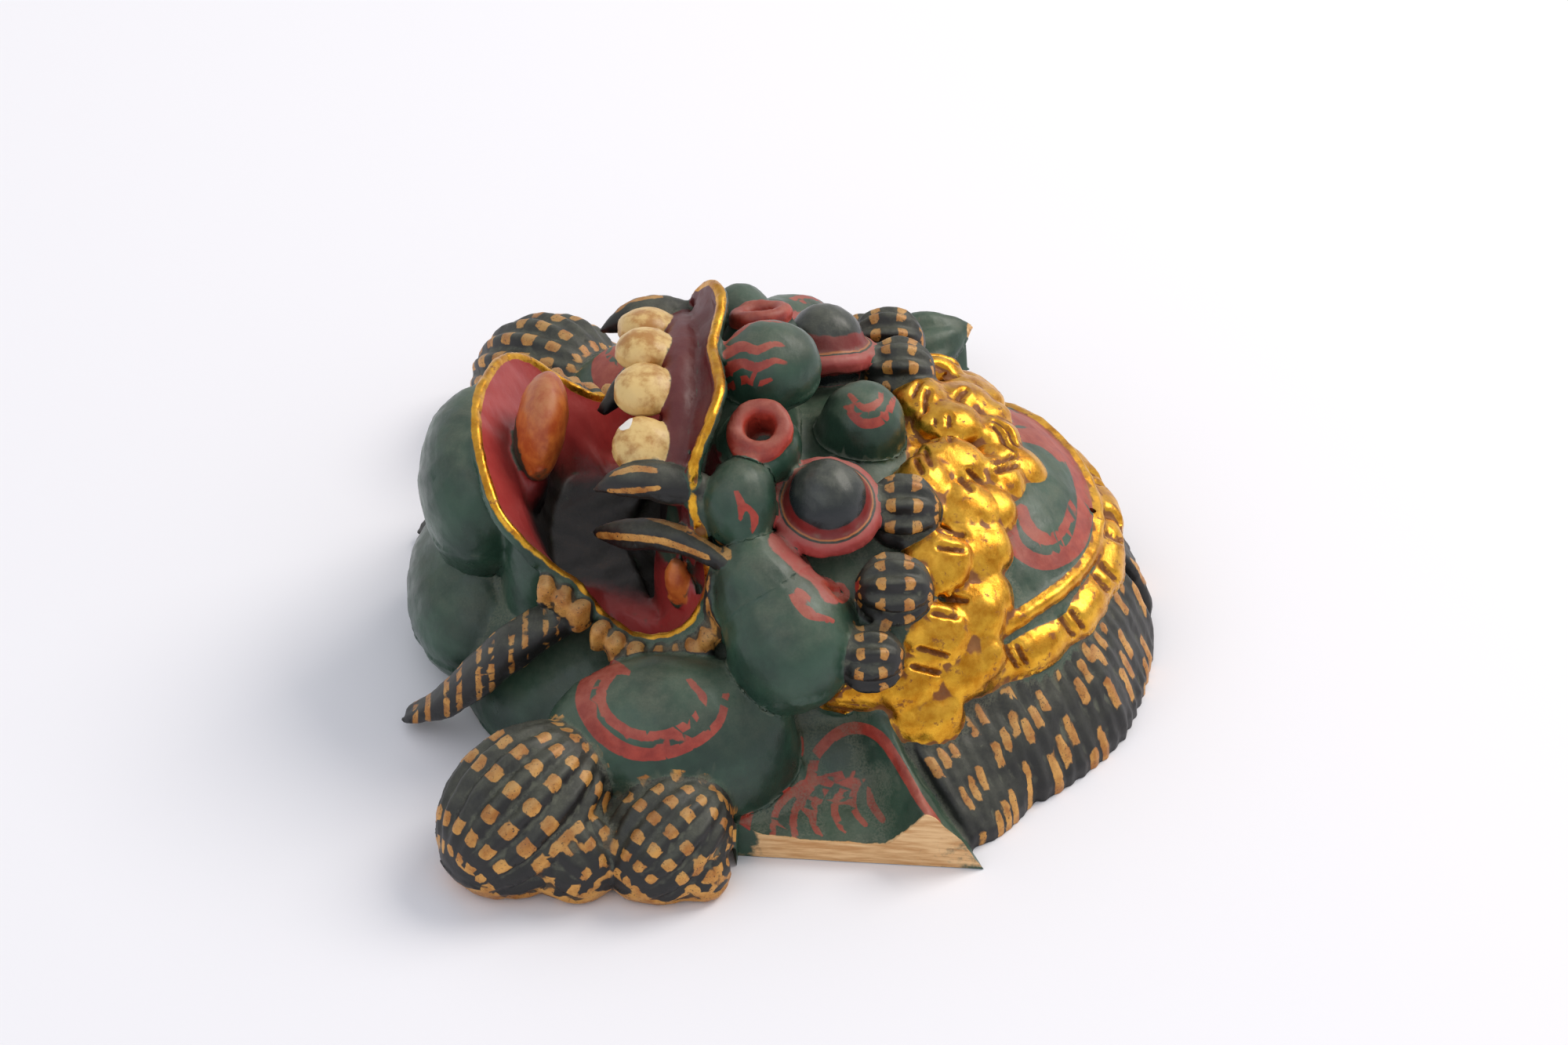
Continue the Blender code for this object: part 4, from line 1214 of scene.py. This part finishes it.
@dataclass
class Painter:
    """Works out where each finish lies and stores it on the vertices.

    Args:
        obj: the finished mask mesh.
        forms: all forms with a finish.
        mouth: the body that hollowed the mouth.
    """

    obj: bpy.types.Object
    forms: list
    mouth: Loft

    def __post_init__(self) -> None:
        """Reads the mesh and charts its distances."""
        self.points = read_points(self.obj) / MM
        self.normals = read_normals(self.obj)
        self.chart = Chart(self.points, self.normals, self.forms)
        self.face = Face()

    def store(self, **layers: np.ndarray) -> None:
        """Args: the values of vertex attributes, by name."""
        for name, values in layers.items():
            layer = self.obj.data.attributes.new(name, "FLOAT", "POINT")
            layer.data.foreach_set("value", values.astype(np.float32))

    def ball(self, at: tuple, radius: float, squash: tuple = (1.0, 1.0, 1.0)) -> np.ndarray:
        """Args: a place, a radius and a squash. Returns: distance to that ball."""
        return np.linalg.norm((self.points - np.array(at)) * squash, axis=1) - radius

    def lips_and_mouth(self) -> None:
        """Stores the mouth, the gold with the edge of the lips, and the depth below them."""
        chart = self.chart
        x, y, z = self.points.T
        by_tusk = chart.near("tusk", "fang") < 0.45
        inner, outward = lip_sides(self.points, self.normals)
        cut = np.minimum(np.abs(self.mouth.distance(self.points)) - 0.55, inner)
        inside = np.where(by_tusk, 2.0, cut)
        inside = np.minimum(inside, chart.own("gum", "tongue root"))
        inside = np.minimum(inside, chart.near("tongue root") - 1.0)
        lip_line = np.array([tuple(p) for p in lip_loop()])
        depth = line_distance(self.points, lip_line, True)
        crest = line_distance(self.points, lip_line + np.array([0, 0, 1.3]), True)
        gold = np.where(crest > 6.0, chart.zone(Paint.GOLD), FAR)
        gold = np.minimum(np.maximum(gold, 3.0 - depth), crest - 1.45)
        upper = np.clip((x + 42.0) / 14.0, 0, 1) * np.clip((z - 44.0) / 14.0, 0, 1)
        mouth = np.maximum(np.maximum(inside, outward), 0.9 - crest)
        self.store(gold=gold, mouth=mouth, depth=depth, upper=upper)

    def eyes(self) -> None:
        """Stores the distance to the axis of each eye, for its painted rings."""
        gap = np.full(len(self.points), FAR)
        for side in (1.0, -1.0):
            fold = np.array([1.0, side, 1.0])
            at = np.array(self.face.eye_at) * fold
            way = np.array(Vector(self.face.gaze).normalized()) * fold
            off = self.points - at
            radial = np.linalg.norm(off - (off @ way)[:, None] * way, axis=1)
            gap = np.where(np.sign(self.points[:, 1]) == np.sign(at[1]), radial, gap)
        on_eye = np.maximum(self.chart.near("eye", "lid") - 1.2, self.chart.own("eye", "lid") - 0.4)
        self.store(eye=np.maximum(np.where(on_eye < 0, gap, FAR), 0.0))

    def colours(self) -> None:
        """Stores the black, cream, orange, red and pink."""
        chart = self.chart
        cream = np.maximum(chart.near("tooth", "tusk bulb") - 0.5, chart.own("tooth", "tusk bulb"))
        tongue = np.maximum(chart.near("tongue", "jaw tooth") - 0.6, chart.own("tongue", "jaw tooth"))
        red = np.minimum(chart.strokes(RED_STROKES), chart.own("nostril") + 0.1)
        for hole in self.face.holes():
            red = np.minimum(red, np.abs(hole.distance(self.points)) - 0.8)
        self.store(black=chart.zone(Paint.BLACK), cream=cream, tongue=tongue, red=red)
        self.store(pink=chart.strokes(PINK_STROKES))

    def ochre(self) -> None:
        """Stores the ochre dashes of curls, hair, beard and fringe, and the rubbed foot of the curls."""
        chart = self.chart
        ribbed = [form for form in self.forms if isinstance(form, Ball) and form.ribs]
        curls = [form for form in ribbed if "brow" not in form.name]
        brows = [form for form in ribbed if "brow" in form.name]
        foot = self.points[:, 2] - 4.6 - 1.2 * np.sin(self.points[:, 0] * 0.5)
        marks = (
            dashes(chart, curls, 9.0, 0.50),
            dashes(chart, brows, 4.0, 0.36),
            hair_dashes(chart),
            lock_dashes(chart),
            fringe_faces(chart),
            chart.strokes(GOLD_STROKES),
            np.maximum(foot, chart.own("beard curl", "beard roll", "jaw curl", "jaw roll")),
        )
        self.store(ochre=np.minimum.reduce(marks))

    def wear(self) -> None:
        """Stores the bare wood, the chips, the slits and how hollow the surface is."""
        hollow = np.minimum.reduce([form.distance(self.points) for form in HOLLOWS]) - 1.2
        rim = np.where(self.normals[:, 2] < -0.75, self.points[:, 2] - 0.5, FAR)
        snapped = np.abs(break_distance(self.points)) - 1.0
        snapped = np.maximum(snapped, 0.55 - np.abs(self.normals[:, 1]))
        snapped = np.maximum(snapped, BREAK_FROM_X - self.points[:, 0])
        tooth_chip = self.ball((-38.0, -20.6, 82.6), 2.1, (1.0, 0.8, 1.0))
        slit = np.full(len(self.points), FAR)
        places, facing = self.chart.seen[True]
        for near, gap in slit_gaps(places, facing > 0, 20.0):
            slit[near] = np.minimum(slit[near], gap)
        self.store(
            back=np.minimum(hollow, rim),
            broken=np.minimum(snapped, self.ball((48.5, 104.0, 17.5), 2.6)),
            gesso=np.minimum(tooth_chip, self.ball((76.4, 3.4, 41.4), 1.3)),
            slit=slit,
            hollow=cavity(self.obj, self.points, self.normals, 5),
            hollow_wide=cavity(self.obj, self.points, self.normals, 40),
        )


FLOWING = (
    *("chin upper", "chin lower", "snout", "brow mass", "nose", "forehead ball", "nostril wing"),
    *("lip knob", "cheek upper", "cheek inner", "cheek lower", "cheek base", "brow base"),
)


EYE_RINGS = (
    (14.3, 14.7, "#9d3a36", "#bd5650", 0.42),
    (11.7, 11.95, "#171414", "#171414", 0.40),
    (11.15, 11.4, "#b5652a", "#b5652a", 0.40),
    (10.75, 11.0, "#6d1d1d", "#8d2c28", 0.40),
    (9.2, 9.5, "#1b1f21", "#2a2f31", 0.24),
)


def srgb(code: str) -> tuple:
    """Args: a hex colour. Returns: it as linear values with alpha."""
    values = [int(code[i : i + 2], 16) / 255 for i in (1, 3, 5)]
    return (*((v / 12.92 if v <= 0.04045 else ((v + 0.055) / 1.055) ** 2.4) for v in values), 1.0)


def node(tree: bpy.types.NodeTree, kind: str, inputs: dict | None = None, **settings) -> bpy.types.Node:
    """Adds a shader node.

    Args:
        tree: the node tree.
        kind: the node's type.
        inputs: values or sockets for its inputs, by name or number.
        settings: its properties.
    Returns:
        the node.
    """
    made = tree.nodes.new(kind)
    for key, value in settings.items():
        setattr(made, key, value)
    for key, value in (inputs or {}).items():
        if isinstance(value, bpy.types.NodeSocket):
            tree.links.new(value, made.inputs[key])
        else:
            made.inputs[key].default_value = value
    return made


@dataclass
class Shader:
    """Builds the mask's material, one layer of finish over the other.

    Args:
        material: the material to fill.
    """

    material: bpy.types.Material
    colour: Socket | None = None
    rough: Socket | float = 0.4
    metal: Socket | float = 0.0

    def __post_init__(self) -> None:
        """Clears the tree and starts from the coordinates and the edge noise."""
        self.material.use_nodes = True
        self.tree = self.material.node_tree
        self.tree.nodes.clear()
        self.coords = node(self.tree, "ShaderNodeTexCoord").outputs["Object"]
        wobble = self.noise(2.4, 3.0, 0.6)
        self.edge = self.times(self.math("SUBTRACT", wobble, 0.5), 1.1)
        self.fine = self.noise(0.55, 3.0, 0.6)
        self.broad = self.noise(14.0, 4.0, 0.55)
        self.patch = self.noise(5.0, 5.0, 0.62)

    def noise(self, size: float, detail: float, rough: float, stretch: tuple = (1, 1, 1)) -> Socket:
        """Args: size of the pattern in mm, its detail, roughness and stretch. Returns: a socket."""
        placed = node(self.tree, "ShaderNodeMapping", {"Vector": self.coords, "Scale": stretch})
        inputs = {"Vector": placed.outputs[0], "Scale": 1000.0 / size, "Detail": detail, "Roughness": rough}
        return node(self.tree, "ShaderNodeTexNoise", inputs).outputs["Fac"]

    def times(self, a: Socket, b: Socket | float) -> Socket:
        """Args: two values. Returns: their product."""
        return self.math("MULTIPLY", a, b)

    def math(self, kind: str, a: Socket | float, b: Socket | float) -> Socket:
        """Args: an operation and its two values. Returns: a socket."""
        return node(self.tree, "ShaderNodeMath", {0: a, 1: b}, operation=kind).outputs[0]

    def value(self, name: str) -> Socket:
        """Args: a vertex attribute. Returns: its socket."""
        return node(self.tree, "ShaderNodeAttribute", attribute_name=name).outputs["Fac"]

    def between(
        self, value: Socket, low: float, high: float, to_low: float = 0.0, to_high: float = 1.0
    ) -> Socket:
        """Args: a value, the range it has and the range it gets. Returns: a socket."""
        inputs = {0: value, 1: low, 2: high, 3: to_low, 4: to_high}
        return node(self.tree, "ShaderNodeMapRange", inputs, interpolation_type="SMOOTHSTEP").outputs[0]

    def inside(self, name: str, soft: float = 0.14, worn: float = 1.0) -> Socket:
        """Args: an attribute, the softness and the roughness of its edge. Returns: a mask."""
        moved = self.math("ADD", self.value(name), self.times(self.edge, worn))
        return self.between(moved, -soft, soft, 1.0, 0.0)

    def mix(self, amount: Socket, under: Socket | tuple, over: Socket | tuple) -> Socket:
        """Args: an amount, and what lies under and over. Returns: a colour socket."""
        made = node(self.tree, "ShaderNodeMix", {0: amount, 6: under, 7: over}, data_type="RGBA")
        return made.outputs[2]

    def lay(self, amount: Socket, colour: Socket | str, rough: Socket | float, metal: float = 0.0) -> None:
        """Args: where a finish lies, its colour, roughness and metallic value."""
        over = srgb(colour) if isinstance(colour, str) else colour
        self.colour = self.mix(amount, self.colour, over)
        self.rough = self.blend(amount, self.rough, rough)
        self.metal = self.blend(amount, self.metal, metal)

    def blend(self, amount: Socket, under: Socket | float, over: Socket | float) -> Socket:
        """Args: an amount and two values. Returns: a value socket."""
        return node(self.tree, "ShaderNodeMix", {0: amount, 2: under, 3: over}).outputs[0]

    def tone(self, amount: Socket, dark: str, light: str) -> Socket:
        """Args: an amount and two hex colours. Returns: the colour between them."""
        return self.mix(amount, srgb(dark), srgb(light))


def painted_wood() -> bpy.types.Material:
    """Returns: the material of the mask."""
    material = bpy.data.materials.new("painted and gilded wood")
    s = Shader(material)
    hollow = s.value("hollow")
    wide = s.value("hollow_wide")
    s.colour = s.tone(s.between(s.broad, 0.3, 0.7), "#1f362b", "#33503f")
    s.rough = s.between(s.patch, 0.3, 0.75, 0.27, 0.43)
    s.lay(s.inside("black"), s.tone(s.patch, "#141516", "#23211f"), 0.42)
    ochre = s.tone(s.between(s.patch, 0.3, 0.7), "#a5672b", "#d9a052")
    scuffed = s.times(s.between(s.fine, 0.28, 0.42), s.between(hollow, 0.02, 0.11, 1.0, 0.1))
    s.lay(s.times(s.inside("ochre", worn=0.7), scuffed), ochre, 0.42, 0.25)
    mouth = s.inside("mouth", 0.3)
    # Inside the lips the red and the maroon turn near-black with depth below the lip edge: the black paint
    # of the mouth's inside, and painted shade of its recess.
    depth = s.math("ADD", s.value("depth"), s.times(s.edge, 4.0))
    inner = s.mix(s.between(depth, 14.0, 25.0), s.tone(s.patch, "#9c2c2c", "#b8423e"), srgb("#120c0d"))
    upper = s.mix(s.between(depth, 15.0, 22.0), s.tone(s.patch, "#4c1217", "#6a1a1d"), srgb("#120c0d"))
    s.lay(mouth, s.mix(s.value("upper"), inner, upper), 0.40)
    s.lay(s.inside("pink", 0.3), s.tone(s.patch, "#9c3b38", "#b9544c"), 0.45)
    red = s.tone(s.between(s.patch, 0.3, 0.7), "#8e2a20", "#b5402f")
    s.lay(s.inside("red", 0.12, worn=0.35), red, 0.42)
    eye = s.math("ADD", s.value("eye"), s.times(s.edge, 0.3))
    for low, high, dark, light, rough in EYE_RINGS:
        s.lay(s.between(eye, low, high, 1.0, 0.0), s.tone(s.patch, dark, light), rough)
    tongue = s.tone(s.between(s.patch, 0.3, 0.7), "#a8481f", "#cf7433")
    s.lay(s.inside("tongue", 0.3), tongue, 0.40)
    cream = s.tone(s.between(s.patch, 0.32, 0.6), "#b07c3c", "#e3c07c")
    s.lay(s.inside("cream", 0.2, worn=0.4), cream, 0.36)
    gold = s.inside("gold", 0.12, worn=0.5)
    leaf = s.tone(s.between(s.patch, 0.25, 0.75), "#b9761a", "#f0b63c")
    s.lay(gold, leaf, s.between(s.fine, 0.2, 0.8, 0.22, 0.42), 1.0)
    rubbed = s.math("ADD", hollow, s.times(s.edge, 0.16))
    in_slit = s.between(s.value("slit"), 0.35, 0.75, 1.0, 0.0)
    worn = s.math("MAXIMUM", s.between(rubbed, 0.03, 0.15), in_slit)
    bole = s.tone(s.patch, "#5d2c10", "#8c4a18")
    s.lay(s.times(gold, s.times(worn, 0.88)), bole, 0.55, 0.1)
    spots = s.times(gold, s.between(s.noise(3.1, 6.0, 0.7), 0.57, 0.66))
    s.lay(s.times(spots, 0.8), "#7d4416", 0.5, 0.2)
    s.lay(s.inside("gesso", 0.1, worn=0.8), "#efeae2", 0.7)
    creases = s.times(s.between(hollow, 0.03, 0.22), s.between(s.patch, 0.30, 0.60))
    valleys = s.times(s.between(wide, 0.12, 0.75), s.between(s.fine, 0.25, 0.60))
    creases = s.math("MAXIMUM", creases, valleys)
    normal = node(s.tree, "ShaderNodeNewGeometry").outputs["Normal"]
    up = node(s.tree, "ShaderNodeSeparateXYZ", {0: normal}).outputs["Z"]
    # Up-facing surfaces turn a lighter grey-beige: dust settled on top, and painted sheen where the light
    # from above falls.
    sheen_and_dust_on_top = s.times(s.between(up, 0.25, 1.0), s.between(s.patch, 0.30, 0.72, 0.14, 0.40))
    creases = s.times(creases, s.between(up, -0.2, 0.5))
    dust_and_sheen = s.math("MAXIMUM", s.times(creases, 0.48), sheen_and_dust_on_top)
    clean = s.math("MAXIMUM", gold, s.math("MAXIMUM", mouth, s.inside("cream", 0.2)))
    dust_and_sheen = s.times(dust_and_sheen, s.math("SUBTRACT", 1.0, s.times(clean, 0.75)))
    # Lays the grey-beige of dust in the creases and on top; on top it is also painted sheen.
    s.lay(dust_and_sheen, s.tone(s.fine, "#59604f", "#8b8b76"), 0.85)
    grain = s.noise(1.1, 4.0, 0.6, (0.05, 1.0, 1.0))
    raw = s.tone(s.between(grain, 0.3, 0.7), "#c48f58", "#edc48f")
    s.lay(s.inside("back", 0.3), s.tone(s.between(grain, 0.3, 0.7), "#8a6238", "#b78a58"), 0.78)
    s.lay(s.inside("broken", 0.10, worn=0.45), raw, 0.72)
    brushed = s.noise(0.9, 3.0, 0.5, (1.0, 0.35, 0.6))
    height = s.math("ADD", s.times(s.patch, 0.45), s.times(brushed, 0.16))
    height = s.math("ADD", height, s.times(s.times(grain, s.inside("broken")), 0.35))
    bump = node(s.tree, "ShaderNodeBump", {"Strength": 0.8, "Distance": 0.35 * MM, "Height": height})
    looks = {"Base Color": s.colour, "Roughness": s.rough, "Metallic": s.metal, "Specular IOR Level": 0.45}
    shader = node(s.tree, "ShaderNodeBsdfPrincipled", {**looks, "Normal": bump.outputs[0]})
    output = node(s.tree, "ShaderNodeOutputMaterial")
    s.tree.links.new(shader.outputs[0], output.inputs["Surface"])
    return material


def make_mask() -> bpy.types.Object:
    """Returns: the finished mask."""
    jaws = Jaws()
    face = Face()
    forms = [*jaws.forms(), *face.forms(), *Beard().forms(), *Ears().forms(), *Crown().forms()]
    parts = MouthParts().forms()
    mask = sculpt(forms, jaws.cut(), face.holes(), parts)
    plain = [form for form in forms if isinstance(form, Ball) and form.name in FLOWING]
    carve(mask, plain)
    trimmed(mask)
    painter = Painter(mask, forms + parts, jaws.cut())
    painter.lips_and_mouth()
    painter.eyes()
    painter.colours()
    painter.ochre()
    painter.wear()
    mask.data.materials.clear()
    mask.data.materials.append(painted_wood())
    select_only([mask])
    bpy.ops.object.shade_smooth_by_angle(angle=math.radians(55))
    return named(mask, "painted_mask")


def make_stage() -> list:
    """Returns: the pale floor and the soft lights."""
    bpy.ops.mesh.primitive_plane_add(size=8.0, location=(0, 0, -0.0002))
    floor = named(bpy.context.object, "floor")
    paper = bpy.data.materials.new("matt white paper")
    paper.use_nodes = True
    shader = paper.node_tree.nodes["Principled BSDF"]
    shader.inputs["Base Color"].default_value = srgb("#f3f2f5")
    shader.inputs["Roughness"].default_value = 0.9
    shader.inputs["Specular IOR Level"].default_value = 0.1
    floor.data.materials.append(paper)
    world = bpy.data.worlds.new("soft room")
    bpy.context.scene.world = world
    world.use_nodes = True
    background = world.node_tree.nodes["Background"]
    background.inputs["Color"].default_value = srgb("#eef0f6")
    background.inputs["Strength"].default_value = 0.74
    lights = (
        ("window", (1.2, 0.7, 1.5), 1.1, 25.0, "#fff8f0"),
        ("fill", (-0.9, -1.2, 1.5), 1.6, 5.0, "#eaf0ff"),
    )
    made = [floor]
    for name, at, size, power, colour in lights:
        bpy.ops.object.light_add(type="AREA", location=at)
        lamp = named(bpy.context.object, name)
        lamp.data.size = size
        lamp.data.energy = power
        lamp.data.color = srgb(colour)[:3]
        lamp.rotation_euler = (Vector((0, 0, 0.04)) - Vector(at)).to_track_quat("-Z", "Y").to_euler()
        made.append(lamp)
    return made


def make_camera() -> None:
    """Places the camera of the picture."""
    bpy.ops.object.camera_add(
        location=CAMERA_AT, rotation=(math.radians(90.0 - CAMERA_DOWN_DEG), 0.0, 0.0)
    )
    camera = bpy.context.object
    camera.data.lens = LENS
    camera.data.sensor_width = 36.0
    bpy.context.scene.camera = camera


def main() -> None:
    """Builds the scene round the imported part."""
    logging.basicConfig(level=logging.INFO)
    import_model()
    bpy.ops.object.select_all(action="DESELECT")
    mask = make_mask()
    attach(mask, "root")
    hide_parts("mask")
    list(make_stage())
    make_camera()
    bpy.context.scene.view_settings.view_transform = "Standard"


if __name__ == "__main__":
    main()
